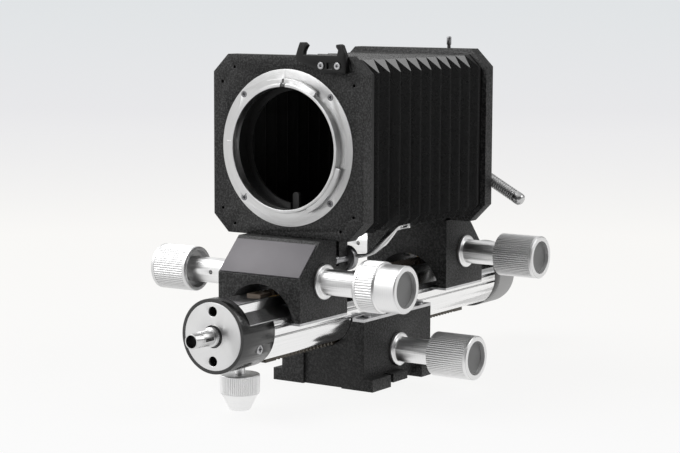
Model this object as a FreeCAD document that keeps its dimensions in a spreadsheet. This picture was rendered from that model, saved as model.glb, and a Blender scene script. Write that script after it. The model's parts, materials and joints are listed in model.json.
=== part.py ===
"""Macro bellows unit: two standards on a racked focusing rail, joined by a folded bellows.

Frame: millimetres, +Z up, +X towards the drive knobs, -Y towards the lens.
The origin is the middle of the tripod socket on the base plane.
"""

import FreeCAD, Part
import Sketcher
import math
import os

Vector = FreeCAD.Vector
Rotation = FreeCAD.Rotation

SIZES = {
    # heights of the two main axes over the base plane
    "optical_height": 98.6,
    "rail_height": 31.25,
    # clearances: slid or turned fits, press fits have none
    "slide_gap": 0.1,
    "run_gap": 0.05,
    "free_gap": 0.3,
    # focusing rail: a round bar with a milled ridge, side slots and a flat
    "rail_radius": 14.3,
    "rail_front": -79.5,
    "rail_rear": 92.6,
    "flat_drop": 10.95,
    "ridge_half": 7.0,
    "ridge_rise": 11.85,
    "ridge_bevel": 0.5,
    "shoulder_rise": 8.15,
    "shoulder_slope": 0.51,
    "slot_low": 1.4,
    "slot_high": 2.5,
    "slot_floor": 12.0,
    "groove_low": -2.05,
    "groove_high": -1.2,
    "groove_floor": 12.6,
    "tongue_half": 9.0,
    "tongue_drop": 8.8,
    "spigot_radius": 9.0,
    "spigot_length": 13.4,
    # racks and pinions
    "gear_module": 0.8,
    "pinion_teeth": 12.0,
    "pressure_angle": 30.0,
    "backlash": 0.08,
    "pinion_half": 2.8,
    "rack_body": 2.0,
    "top_rack_half": 3.2,
    "top_rack_front": -73.5,
    "top_rack_rear": 89.0,
    "bottom_rack_half": 5.5,
    "bottom_rack_front": -73.3,
    "bottom_rack_rear": 78.2,
    "rack_land": 7.0,
    "screw_radius": 1.0,
    "screw_head_radius": 1.8,
    "screw_head_height": 1.0,
    "rail_screw_length": 6.0,
    "recess_depth": 0.8,
    # drive shafts, bushes and knobs
    "shaft_radius": 2.5,
    "shaft_left": 9.2,
    "journal_radius": 4.5,
    "journal_inner": 6.2,
    "collar_radius": 7.0,
    "collar_width": 1.6,
    "tube_radius": 5.1,
    "tube_reach": 39.6,
    "knob_inner": 38.5,
    "knob_outer": 57.0,
    "knob_radius": 9.0,
    "knob_well": 6.2,
    "knob_well_depth": 3.5,
    "knob_edge": 0.4,
    "knob_rim": 2.1,
    "disc_sink": 1.8,
    "disc_width": 0.8,
    "rib_count": 60.0,
    "rib_depth": 0.35,
    "rib_width": 0.42,
    "rib_margin": 1.6,
    "ring_radius": 9.95,
    "ring_reach": 48.0,
    "barrel_radius": 9.15,
    # lock knobs on the left
    "lock_inner": 41.5,
    "lock_outer": 59.0,
    "lock_tube_reach": 43.5,
    "lock_well": 7.5,
    "lock_well_depth": 3.0,
    "oil_hole_radius": 0.9,
    # front end cap of the rail
    "cap_face": -99.5,
    "cap_ring_rear": -94.3,
    "saddle_rise": 4.55,
    "rim_width": 1.3,
    "face_disc_width": 1.0,
    "face_hole_radius": 1.9,
    "face_hole_offset": 9.45,
    "stud_radius": 3.0,
    "stud_collar_radius": 3.7,
    "stud_collar": 2.5,
    "stud_body": 6.0,
    "stud_tip_radius": 2.9,
    "stud_tip": 4.6,
    "stud_bore": 2.4,
    "stud_recess": 4.3,
    "stud_slot_width": 1.2,
    "cap_screw_y": -87.9,
    "cap_screw_sink": 1.8,
    "cap_screw_drop": 5.25,
    # lock knob under the front cap
    "stop_knob_y": -82.5,
    "stop_knob_radius": 7.7,
    "stop_knob_top": 14.4,
    "stop_knob_grip": 7.0,
    "stop_knob_waist": 6.2,
    "stop_knob_slope": 2.0,
    "stop_knob_tip": 4.1,
    "stop_knob_dimple": 1.2,
    "stop_knob_base": 0.6,
    "stop_screw_radius": 2.0,
    # rear end of the rail
    "buffer_width": 5.0,
    "rear_cap_width": 15.3,
    "rear_cap_round": 2.6,
    # tripod block
    "base_half_width": 20.0,
    "base_half_length": 26.1,
    "base_top": 28.0,
    "foot_half_width": 24.3,
    "foot_height": 5.0,
    "foot_length": 14.0,
    "step_front": -10.3,
    "step_rear": 0.7,
    "base_recess_half": 9.3,
    "base_recess_top": 15.0,
    "base_recess_depth": 1.5,
    "base_relief": 1.5,
    "base_pinion_height": 13.5,
    "trough_gap": 0.1,
    "socket_radius": 5.0,
    "socket_bore": 2.6,
    "socket_length": 6.5,
    "base_gib_width": 1.2,
    "base_gib_lip": 3.5,
    "base_gib_screw_y": 20.0,
    "base_gib_screw_x": 18.0,
    "base_gib_screw_length": 5.7,
    # front standard
    "front_pinion_y": -54.3,
    "carriage_pinion_height": 48.1,
    "front_half_width": 19.3,
    "front_block_face": -70.2,
    "front_block_back": -37.3,
    "front_brow_y": -58.2,
    "front_brow_z": 62.4,
    "front_chin_z": 50.6,
    "carriage_bottom": 33.65,
    "arch_radius": 16.2,
    "pocket_half": 3.4,
    "pocket_reach": 6.0,
    "carriage_gib_width": 0.9,
    "carriage_gib_screw_x": 17.4,
    "carriage_gib_screw_radius": 0.7,
    "carriage_gib_head_radius": 1.15,
    "carriage_gib_screw_length": 4.0,
    "carriage_gib_inset": 4.0,
    "nameplate_width": 0.6,
    "nameplate_margin": 0.5,
    # lens plate
    "lens_plate_front": -51.3,
    "lens_plate_width": 6.0,
    "lens_plate_half": 35.5,
    "lens_plate_corner": 7.07,
    "plate_offset": 0.7,
    "pin_hole_radius": 0.6,
    "pin_hole_depth": 2.0,
    "pin_hole_near": 4.4,
    "pin_hole_far": 10.3,
    # lens mount
    "flange_radius": 30.84,
    "flange_width": 1.5,
    "flange_proud": 0.2,
    "throat_radius": 24.0,
    "neck_radius": 25.2,
    "neck_reach": 3.1,
    "lug_radius": 27.2,
    "lug_width": 1.4,
    "lug_setback": 0.4,
    "lug_start": -64.6,
    "lug_sweep": 50.6,
    "mount_screw_circle": 28.95,
    "mount_screw_radius": 0.8,
    "mount_screw_head": 1.3,
    "mount_screw_head_height": 0.7,
    "mount_screw_length": 4.0,
    "keyway_half": 1.15,
    "keyway_rise": 25.6,
    "keyway_slit_half": 0.45,
    "light_tube_radius": 26.4,
    "light_tube_bore": 24.6,
    "light_tube_lip": 22.4,
    "light_tube_lip_width": 1.2,
    # aperture stop-down train
    "iris_ring_inner": 26.5,
    "iris_ring_outer": 30.0,
    "iris_ring_gap": 0.2,
    "iris_ring_width": 1.6,
    "iris_tab_half": 1.55,
    "iris_tab_tip": 17.75,
    "iris_tab_chamfer": 0.8,
    "iris_slot_left": -3.0,
    "iris_slot_right": 6.0,
    "fork_reach": 33.5,
    "fork_half": 4.4,
    "fork_slot_half": 2.1,
    "fork_floor": 29.4,
    "crank_pivot_x": 17.5,
    "crank_pivot_z": 55.1,
    "crank_throw": 15.0,
    "crank_tip_radius": 1.9,
    "crank_arm_half": 1.0,
    "crank_shaft_radius": 2.0,
    "crank_hub_radius": 5.0,
    "crank_hub_width": 2.9,
    "lever_width": 1.6,
    "lever_reach": 28.0,
    "lever_eye": 3.0,
    "crank_room_left": 11.3,
    # accessory shoe on the lens plate
    "shoe_width": 2.2,
    "shoe_left": 5.7,
    "shoe_right": 28.6,
    "shoe_rise": 0.4,
    "shoe_flank": 34.5,
    "shoe_foot": 29.7,
    "shoe_foot_x": 18.6,
    "hook_height": 4.8,
    "shoe_screw_x": 17.5,
    "shoe_screw_step": 7.5,
    "shoe_screw_rise": 32.6,
    "shoe_screw_head": 1.35,
    "shoe_screw_head_height": 0.5,
    "shoe_screw_length": 4.5,
    "shoe_window_half": 1.2,
    "shoe_window_depth": 0.8,
    # bellows
    "bellows_half": 34.2,
    "fold_depth": 5.5,
    "half_folds": 21.0,
    "bellows_skin": 0.7,
    "frame_width": 1.5,
    "frame_rim": 1.5,
    "frame_window": 25.5,
    "frame_window_corner": 4.0,
    # rear standard
    "rear_pinion_y": 54.7,
    "rear_half_width": 20.0,
    "rear_block_front": 38.7,
    "rear_block_face": 70.0,
    "rear_brow_y": 59.5,
    "rear_brow_z": 60.6,
    "rear_chin_z": 48.9,
    # camera plate and mount
    "camera_plate_front": 42.2,
    "camera_plate_width": 5.7,
    "camera_plate_half": 36.5,
    "camera_plate_corner": 7.4,
    "seat_bore": 21.5,
    "seat_radius": 24.0,
    "seat_reach": 8.2,
    "seat_lip": 25.4,
    "seat_lip_width": 1.0,
    "breech_radius": 31.5,
    "breech_width": 6.6,
    "handle_angle": -28.3,
    "handle_spigot": 1.5,
    "handle_spigot_length": 3.5,
    "handle_neck": 1.9,
    "handle_neck_reach": 36.0,
    "handle_radius": 2.6,
    "handle_reach": 56.5,
    "handle_dome": 1.8,
    "handle_groove_start": 40.0,
    "handle_groove_pitch": 1.06,
    "handle_groove_depth": 0.4,
    "handle_groove_width": 0.45,
    # release button on top of the camera plate
    "button_x": 16.8,
    "button_y": 44.7,
    "button_head_radius": 1.0,
    "button_head_height": 3.5,
    "button_rise": 1.5,
    "button_stem_radius": 0.75,
    "button_stem_length": 4.0,
}

LUG_COUNT = 3
HANDLE_GROOVES = 12

# finger lever of the stop-down: outline and slot, as shares of its reach from the pivot
LEVER_OUTLINE = [
    (0, -0.036), (0.314, 0.032), (0.446, 0.086), (0.618, 0.225), (0.686, 0.3), (0.752, 0.384),
    (0.8, 0.437), (0.918, 0.475), (1, 0.489), (0.989, 0.55), (0.8, 0.502), (0.675, 0.443),
    (0.611, 0.375), (0.525, 0.289), (0.429, 0.189), (0.296, 0.075), (0, 0.043),
]
LEVER_SLOT = [(0.879, 0.481), (0.968, 0.502), (0.968, 0.527), (0.879, 0.505)]

# hooks of the accessory shoe, as shares of their height from the plate's top corners
LEFT_HOOK = [
    (0.77, 0), (0.79, 0.23), (0.96, 0.56), (1.1, 0.76), (0.81, 1), (0.375, 1), (0.17, 0.5),
    (0, 0),
]
RIGHT_HOOK = [
    (0, 0), (-0.15, 0.33), (-0.35, 0.81), (-0.54, 0.9), (-0.92, 0.85), (-0.92, 0.65),
    (-0.73, 0.42), (-0.83, 0),
]

doc = FreeCAD.newDocument("MacroBellows")
sheet = doc.addObject("Spreadsheet::Sheet", "Sizes")
for row, (alias, number) in enumerate(SIZES.items(), start=1):
    sheet.set("A%d" % row, alias)
    sheet.set("B%d" % row, str(number))
    sheet.setAlias("B%d" % row, alias)
doc.recompute()


class Size:
    """A length that knows its number and the spreadsheet expression behind it."""

    def __init__(self, number, text):
        self.number = float(number)
        self.text = text

    def joined(self, other, sign, number):
        return Size(number, "(%s %s %s)" % (self.text, sign, other.text))

    def __add__(self, other):
        other = as_size(other)
        return self.joined(other, "+", self.number + other.number)

    def __sub__(self, other):
        other = as_size(other)
        return self.joined(other, "-", self.number - other.number)

    def __mul__(self, other):
        other = as_size(other)
        return self.joined(other, "*", self.number * other.number)

    def __truediv__(self, other):
        other = as_size(other)
        return self.joined(other, "/", self.number / other.number)

    def __radd__(self, other):
        return as_size(other) + self

    def __rsub__(self, other):
        return as_size(other) - self

    def __rmul__(self, other):
        return as_size(other) * self

    def __neg__(self):
        return Size(-self.number, "(0 - %s)" % self.text)


def as_size(value):
    """A Size from a Size or a plain number."""
    return value if isinstance(value, Size) else Size(value, "(%.9g)" % value)


class Sizes:
    """The sheet's cells as Size objects, by alias."""

    def __getattr__(self, alias):
        return Size(float(sheet.get(alias)), "Sizes." + alias)


s = Sizes()


def bind(thing, prop, value):
    """Set a property to a Size, through an expression on the sheet."""
    thing.setExpression(prop, as_size(value).text)


PLANES = {"XY": "XY_Plane", "XZ": "XZ_Plane", "YZ": "YZ_Plane"}
AXES = {
    "X": Rotation(Vector(0, 1, 0), 90),
    "-X": Rotation(Vector(0, 1, 0), -90),
    "Y": Rotation(Vector(1, 0, 0), -90),
    "-Y": Rotation(Vector(1, 0, 0), 90),
    "Z": Rotation(),
    "-Z": Rotation(Vector(1, 0, 0), 180),
}
parts = []


def new_body(label, origin=(0, 0, 0), axis="Z"):
    """A sub-part: a body whose own Z runs along axis, placed at origin."""
    body = doc.addObject("PartDesign::Body", label)
    body.Label = label
    turn = axis if isinstance(axis, Rotation) else AXES[axis]
    body.Placement = FreeCAD.Placement(Vector(*[as_size(v).number for v in origin]), turn)
    for letter, value in zip("xyz", origin):
        bind(body, ".Placement.Base." + letter, value)
    parts.append(body)
    return body


def new_sketch(body, plane, start):
    """A sketch on one of the body's origin planes, moved to start along its normal."""
    sketch = body.newObject("Sketcher::SketchObject", body.Label + "_sketch")
    role = PLANES[plane]
    face = [f for f in body.Origin.OriginFeatures if f.Role == role][0]
    sketch.AttachmentSupport = [(face, "")]
    sketch.MapMode = "FlatFace"
    away = -as_size(start) if plane == "XZ" else as_size(start)
    bind(sketch, "AttachmentOffset.Base.z", away)
    return sketch


def fix_point(sketch, edge, end, u, v):
    """Pin one point of a sketch edge at (u, v)."""
    for kind, value, axis in (("DistanceX", as_size(u), -2), ("DistanceY", as_size(v), -1)):
        if value.number == 0:
            sketch.addConstraint(Sketcher.Constraint("PointOnObject", edge, end, axis))
            continue
        index = sketch.addConstraint(Sketcher.Constraint(kind, -1, 1, edge, end, value.number))
        bind(sketch, "Constraints[%d]" % index, value)


def draw_polygon(sketch, points):
    """A closed outline through points, each corner pinned."""
    spots = [Vector(as_size(u).number, as_size(v).number, 0) for u, v in points]
    first = sketch.GeometryCount
    count = len(spots)
    for i, spot in enumerate(spots):
        sketch.addGeometry(Part.LineSegment(spot, spots[(i + 1) % count]), False)
    for i in range(count):
        joint = (first + i, 2, first + (i + 1) % count, 1)
        sketch.addConstraint(Sketcher.Constraint("Coincident", *joint))
    for i, (u, v) in enumerate(points):
        fix_point(sketch, first + i, 1, u, v)


def draw_circle(sketch, u, v, radius):
    """A circle with its centre pinned."""
    centre = Vector(as_size(u).number, as_size(v).number, 0)
    edge = sketch.addGeometry(Part.Circle(centre, Vector(0, 0, 1), as_size(radius).number), False)
    fix_point(sketch, edge, 3, u, v)
    index = sketch.addConstraint(Sketcher.Constraint("Radius", edge, as_size(radius).number))
    bind(sketch, "Constraints[%d]" % index, radius)


def draw(sketch, loops):
    """Draw each loop: a list of points, or (centre u, centre v, radius)."""
    for loop in loops:
        if isinstance(loop, tuple):
            draw_circle(sketch, *loop)
        else:
            draw_polygon(sketch, loop)


def pad(body, plane, loops, start, length):
    """Add material from start, length along the plane's world axis."""
    sketch = new_sketch(body, plane, start)
    draw(sketch, loops)
    feature = body.newObject("PartDesign::Pad", body.Label + "_pad")
    feature.Profile = sketch
    feature.Reversed = plane == "XZ"
    bind(feature, "Length", length)
    return feature


def pocket(body, plane, loops, start, length):
    """Cut material from start, length along the plane's world axis."""
    sketch = new_sketch(body, plane, start)
    draw(sketch, loops)
    feature = body.newObject("PartDesign::Pocket", body.Label + "_pocket")
    feature.Profile = sketch
    feature.Reversed = plane != "XZ"
    bind(feature, "Length", length)
    return feature


def revolve(body, points):
    """Turn an outline of (radius, height) points about the body's Z axis."""
    sketch = new_sketch(body, "XZ", 0)
    draw(sketch, [points])
    feature = body.newObject("PartDesign::Revolution", body.Label + "_turn")
    feature.Profile = sketch
    feature.ReferenceAxis = (sketch, ["V_Axis"])
    feature.Angle = 360.0
    return feature


def groove(body, points):
    """Turn an outline of (radius, height) points away from the body."""
    sketch = new_sketch(body, "XZ", 0)
    draw(sketch, [points])
    feature = body.newObject("PartDesign::Groove", body.Label + "_groove")
    feature.Profile = sketch
    feature.ReferenceAxis = (sketch, ["V_Axis"])
    feature.Angle = 360.0
    return feature


def polar(body, features, count, axis="Z_Axis"):
    """Repeat features about one of the body's axes."""
    line = [f for f in body.Origin.OriginFeatures if f.Role == axis][0]
    feature = body.newObject("PartDesign::PolarPattern", body.Label + "_polar")
    feature.Originals = features
    feature.Axis = (line, [""])
    feature.Angle = 360.0
    bind(feature, "Occurrences", count)
    body.Tip = feature
    return feature


def linear(body, features, count, reach, axis):
    """Repeat features along one of the body's axes over reach."""
    line = [f for f in body.Origin.OriginFeatures if f.Role == axis][0]
    feature = body.newObject("PartDesign::LinearPattern", body.Label + "_row")
    feature.Originals = features
    feature.Direction = (line, [""])
    bind(feature, "Length", reach)
    bind(feature, "Occurrences", count)
    body.Tip = feature
    return feature


def mirrored(body, features, plane="YZ_Plane"):
    """Mirror features about one of the body's origin planes."""
    face = [f for f in body.Origin.OriginFeatures if f.Role == plane][0]
    feature = body.newObject("PartDesign::Mirrored", body.Label + "_mirror")
    feature.Originals = features
    feature.MirrorPlane = (face, [""])
    body.Tip = feature
    return feature


def rectangle(u0, v0, u1, v1):
    """Corner points of an upright rectangle."""
    return [(u0, v0), (u1, v0), (u1, v1), (u0, v1)]


def rounded_end(radius, soft, reach):
    """Outline points round the outer edge of a turned end."""
    steps = 4
    points = []
    for i in range(steps + 1):
        angle = math.pi / 2 * i / steps
        points.append((radius - soft * (1 - math.cos(angle)),
                       reach - soft * (1 - math.sin(angle))))
    return points


def octagon(half, corner, middle=0):
    """Corner points of a square with cut corners, centred at (0, middle)."""
    near = half - corner
    up, down = middle + half, middle - half
    return [
        (near, down), (half, middle - near), (half, middle + near), (near, up),
        (-near, up), (-half, middle + near), (-half, middle - near), (-near, down),
    ]


def optical(rise):
    """Height over the base of a point that lies rise above the optical axis."""
    return s.optical_height + rise


def rail(rise):
    """Height over the base of a point that lies rise above the rail's axis."""
    return s.rail_height + rise


# gear sizes shared by the racks and the pinions
PITCH = math.pi * s.gear_module
PITCH_RADIUS = s.gear_module * s.pinion_teeth / 2
ADDENDUM = s.gear_module * 0.8
DEDENDUM = s.gear_module * 1.0


def recess(screw, kind, reach, top, height):
    """Driver recess in a screw's head: a slot, a cross or a round socket."""
    thin = reach * 0.18
    depth = s.recess_depth
    if kind == "slot":
        slot = rectangle(-reach * 1.2, -thin, reach * 1.2, thin)
        pocket(screw, "XY", [slot], top - height / 2, height)
    elif kind == "cross":
        arm = reach * 0.58
        pocket(screw, "XY", [rectangle(-arm, -thin, arm, thin)], top - depth, depth)
        pocket(screw, "XY", [rectangle(-thin, -arm, thin, arm)], top - depth, depth)
    else:
        pocket(screw, "XY", [(0, 0, reach * 0.45)], top - depth, depth)


def screws(label, spots, head, shank, kind="slot", flush=False):
    """A group of equal screws, one at each (place, axis).

    Head and shank are (radius, length). The place is under the head, which stands
    out along the axis; a flush head is sunk below the place instead.
    """
    group = doc.addObject("Part::Compound", label)
    group.Label = label
    top = as_size(0) if flush else head[1]
    under = top - head[1]
    links = []
    for number, (place, axis) in enumerate(spots):
        screw = new_body("%s_%d" % (label, number + 1), place, axis)
        parts.remove(screw)
        revolve(screw, [
            (0, -shank[1]), (shank[0], -shank[1]), (shank[0], under),
            (head[0], under), (head[0], top), (0, top),
        ])
        recess(screw, kind, head[0], top, head[1])
        links.append(screw)
    group.Links = links
    parts.append(group)


def bush(label, side, block_half, y, z, reach):
    """Flanged bush: a journal in the block and a polished tube outside it."""
    body = new_body(label, (0, y, z), side)
    bore = s.shaft_radius + s.run_gap
    revolve(body, [
        (bore, s.journal_inner),
        (s.journal_radius, s.journal_inner),
        (s.journal_radius, block_half),
        (s.collar_radius, block_half),
        (s.collar_radius, block_half + s.collar_width - s.knob_edge),
        (s.collar_radius - s.knob_edge, block_half + s.collar_width),
        (s.tube_radius, block_half + s.collar_width),
        (s.tube_radius, reach),
        (bore, reach),
    ])
    return body


def ribs(body, radius, start, end):
    """Fine straight ribs round a knob: equal grooves along its length."""
    half = s.rib_width / 2
    cut = rectangle(radius - s.rib_depth, -half, radius + s.rib_depth, half)
    first = pocket(body, "XY", [cut], start, end - start)
    return polar(body, [first], s.rib_count)


def drive_knob(label, y, z, wide_ring):
    """Cup-shaped knob on the shaft's right end, open round the tube."""
    body = new_body(label, (0, y, z), "X")
    edge = s.knob_edge
    outer = s.barrel_radius if wide_ring else s.knob_radius
    floor = s.knob_outer - s.disc_sink - s.disc_width
    outline = [
        (s.shaft_radius, s.knob_inner + s.knob_well_depth),
        (s.knob_well, s.knob_inner + s.knob_well_depth),
        (s.knob_well, s.knob_inner),
    ]
    if wide_ring:
        outline += [
            (s.ring_radius - edge, s.knob_inner),
            (s.ring_radius, s.knob_inner + edge),
            (s.ring_radius, s.ring_reach - (s.ring_radius - outer)),
            (outer, s.ring_reach),
        ]
    else:
        outline += [(outer - edge, s.knob_inner), (outer, s.knob_inner + edge)]
    outline += [
        (outer, s.knob_outer - edge),
        (outer - edge, s.knob_outer),
        (outer - s.knob_rim, s.knob_outer),
        (outer - s.knob_rim, floor),
        (s.shaft_radius, floor),
    ]
    revolve(body, outline)
    if wide_ring:
        ribs(body, s.ring_radius, s.knob_inner + s.rib_margin, s.ring_reach)
    else:
        ribs(body, outer, s.knob_inner, s.knob_outer - s.rib_margin)
    return body


def drive_disc(label, y, z, outer):
    """Grey cover disc let into the knob's end."""
    body = new_body(label, (0, y, z), "X")
    start = s.knob_outer - s.disc_sink - s.disc_width
    pad(body, "XY", [(0, 0, outer - s.knob_rim)], start, s.disc_width)
    return body


def drive_shaft(label, y, z):
    """Plain shaft that carries the pinion and the knob."""
    body = new_body(label, (0, y, z), "X")
    end = s.knob_outer - s.disc_sink - s.disc_width
    pad(body, "XY", [(0, 0, s.shaft_radius)], -s.shaft_left, end + s.shaft_left)
    return body


def flank_angle(base, radius, at_base):
    """Half angle of a tooth at radius, from its half angle at the base circle."""
    roll = math.sqrt(max((radius / base) ** 2 - 1, 0))
    return at_base - (roll - math.atan(roll))


def pinion(label, y, z, down):
    """Spur pinion in mesh with a rack that lies below it (down) or above it."""
    rolled = math.degrees(-as_size(y).number / PITCH_RADIUS.number)
    toward = 180 if down else 0
    turn = Rotation(Vector(1, 0, 0), rolled + toward).multiply(AXES["X"])
    body = new_body(label, (0, y, z), turn)
    width = 2 * s.pinion_half
    loops = [(0, 0, PITCH_RADIUS + ADDENDUM), (0, 0, s.shaft_radius)]
    pad(body, "XY", loops, -s.pinion_half, width)
    # one gap between two teeth; a tooth's middle lies on the body's -X, which points up
    root = (PITCH_RADIUS - DEDENDUM).number
    tip = (PITCH_RADIUS + ADDENDUM * 1.2).number
    pressure = math.radians(s.pressure_angle.number)
    base = PITCH_RADIUS.number * math.cos(pressure)
    half_step = math.pi / s.pinion_teeth.number
    slack = s.backlash.number / (2 * PITCH_RADIUS.number)
    at_base = half_step / 2 - slack + math.tan(pressure) - pressure
    low = max(base, root)
    steps = 5
    radii = [low + (tip - low) * i / steps for i in range(steps + 1)]
    gap = [(root, half_step - at_base)]
    gap += [(radius, half_step - flank_angle(base, radius, at_base)) for radius in radii]
    middle = math.pi - half_step
    outline = [(radius, middle - angle) for radius, angle in gap]
    outline.append((2 * tip - root, middle))
    outline += [(radius, middle + angle) for radius, angle in reversed(gap)]
    points = [(radius * math.cos(angle), radius * math.sin(angle)) for radius, angle in outline]
    cut = pocket(body, "XY", [points], -s.pinion_half, width)
    polar(body, [cut], s.pinion_teeth)


def rack(label, half, front, rear, pitch_height, up):
    """Rack with a plain land at each end; a tooth gap is centred on Y = 0."""
    way = 1 if up else -1
    body = new_body(label)
    back = pitch_height - way * (DEDENDUM + s.rack_body)
    tip = pitch_height + way * ADDENDUM
    low, high = (back, tip) if up else (tip, back)
    pad(body, "XZ", [rectangle(-half, low, half, high)], front, rear - front)
    first = math.ceil((front + s.rack_land).number / PITCH.number)
    last = math.floor((rear - s.rack_land).number / PITCH.number)
    lean = math.tan(math.radians(s.pressure_angle.number))
    over = ADDENDUM * 1.2
    at_floor = PITCH / 4 - DEDENDUM * lean
    at_mouth = PITCH / 4 + over * lean
    middle = first * PITCH
    floor = pitch_height - way * DEDENDUM
    mouth = pitch_height + way * over
    gap = [
        (middle - at_floor, floor), (middle + at_floor, floor),
        (middle + at_mouth, mouth), (middle - at_mouth, mouth),
    ]
    cut = pocket(body, "YZ", [gap], -half, 2 * half)
    linear(body, [cut], last - first + 1, (last - first) * PITCH, "Y_Axis")
    return body


def lock_knob(label, y, z):
    """Knob and spindle of a shaft lock; its tip stands just off the shaft's left end."""
    body = new_body(label, (0, y, z), "-X")
    edge = s.knob_edge
    tip = s.shaft_left + s.free_gap
    floor = s.lock_inner + s.lock_well_depth
    revolve(body, [
        (0, tip), (s.shaft_radius, tip), (s.shaft_radius, floor),
        (s.lock_well, floor), (s.lock_well, s.lock_inner),
        (s.knob_radius - edge, s.lock_inner), (s.knob_radius, s.lock_inner + edge),
        (s.knob_radius, s.lock_outer - edge), (s.knob_radius - edge, s.lock_outer),
        (0, s.lock_outer),
    ])
    ribs(body, s.knob_radius, s.lock_inner + s.rib_margin, s.lock_outer - s.rib_margin)
    return body


def drive_train(prefix, block_half, y, z, down, wide_ring=False):
    """Everything on one cross axis: bushes, shaft, pinion, drive knob and lock knob."""
    bush(prefix + "_drive_bush", "X", block_half, y, z, s.tube_reach)
    left = bush(prefix + "_lock_bush", "-X", block_half, y, z, s.lock_tube_reach)
    spot = (s.lock_tube_reach + block_half) / 2
    pocket(left, "XZ", [(0, spot, s.oil_hole_radius)], -s.tube_radius, s.tube_radius)
    drive_knob(prefix + "_drive_knob", y, z, wide_ring)
    drive_disc(prefix + "_drive_disc", y, z, s.barrel_radius if wide_ring else s.knob_radius)
    drive_shaft(prefix + "_drive_shaft", y, z)
    pinion(prefix + "_pinion", y, z, down)
    lock_knob(prefix + "_lock_knob", y, z)


# ---------------------------------------------------------------- focusing rail

TOP_PITCH = s.carriage_pinion_height - PITCH_RADIUS
BOTTOM_PITCH = s.base_pinion_height + PITCH_RADIUS


def make_rail():
    """Rail bar with its two racks and their screws."""
    big = s.rail_radius + 5
    bar = new_body("rail_bar")
    pad(bar, "XZ", [(0, s.rail_height, s.rail_radius)], s.cap_ring_rear,
        s.rail_rear - s.cap_ring_rear)
    pad(bar, "XZ", [(0, s.rail_height, s.spigot_radius)], s.rail_rear, s.spigot_length)
    length = s.rail_rear - s.cap_ring_rear
    start = s.cap_ring_rear
    pocket(bar, "XZ", [rectangle(-big, 0, big, rail(-s.flat_drop))], start, length)
    pocket(bar, "XZ", [rectangle(-big, rail(s.ridge_rise), big, rail(big))], start, length)
    fall = s.shoulder_slope * (big - s.ridge_half)
    crest = rail(s.ridge_rise)
    side = pocket(bar, "XZ", [[
        (s.ridge_half - s.ridge_bevel, crest),
        (s.ridge_half, crest - s.ridge_bevel),
        (s.ridge_half, rail(s.shoulder_rise)),
        (big, rail(s.shoulder_rise - fall)), (big, rail(big)),
        (s.ridge_half - s.ridge_bevel, rail(big)),
    ]], start, length)
    slot = rectangle(s.slot_floor, rail(s.slot_low), big, rail(s.slot_high))
    upper = pocket(bar, "XZ", [slot], start, length)
    low = rectangle(s.groove_floor, rail(s.groove_low), big, rail(s.groove_high))
    lower = pocket(bar, "XZ", [low], start, length)
    mirrored(bar, [side, upper, lower])
    # the front end is reduced to a square tongue under the saddle's edge
    edge = rail(s.saddle_rise)
    foot = rail(-s.tongue_drop)
    pocket(bar, "XZ", [[
        (-big, edge), (-big, 0), (big, 0), (big, edge), (s.tongue_half, edge),
        (s.tongue_half, foot), (-s.tongue_half, foot), (-s.tongue_half, edge),
    ]], start, s.rail_front - start)
    seat = TOP_PITCH - DEDENDUM - s.rack_body
    pocket(bar, "XZ", [rectangle(-s.top_rack_half, seat, s.top_rack_half, rail(big))],
           s.top_rack_front, s.top_rack_rear - s.top_rack_front)
    roof = BOTTOM_PITCH + DEDENDUM + s.rack_body
    pocket(bar, "XZ", [rectangle(-s.bottom_rack_half, 0, s.bottom_rack_half, roof)],
           s.bottom_rack_front, s.bottom_rack_rear - s.bottom_rack_front)

    rack_spots = []
    for label, half, front, rear, height, way in (
        ("top_rack", s.top_rack_half, s.top_rack_front, s.top_rack_rear, TOP_PITCH, 1),
        ("bottom_rack", s.bottom_rack_half, s.bottom_rack_front, s.bottom_rack_rear,
         BOTTOM_PITCH, -1),
    ):
        strip = rack(label, half, front, rear, height, way > 0)
        face = height + way * ADDENDUM
        seat = face - way * s.rack_body
        foot = seat - way * s.rail_screw_length
        for y in (front + s.rack_land / 2, rear - s.rack_land / 2):
            low, high = (foot, seat) if way > 0 else (seat, foot)
            for thing in (strip, bar):
                pocket(thing, "XY", [(0, y, s.screw_radius)], low, high - low)
            low, high = (seat, face) if way > 0 else (face, seat)
            pocket(strip, "XY", [(0, y, s.screw_head_radius)], low, high - low)
            rack_spots.append(((0, y, seat), "Z" if way > 0 else "-Z"))
    flank = s.rail_radius - s.cap_screw_sink
    rack_spots.append(((flank, s.cap_screw_y, rail(-s.cap_screw_drop)), "X"))
    screws("rail_screws", rack_spots, (s.screw_head_radius, s.screw_head_height),
           (s.screw_radius, s.rail_screw_length), "cross")
    return bar


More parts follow.
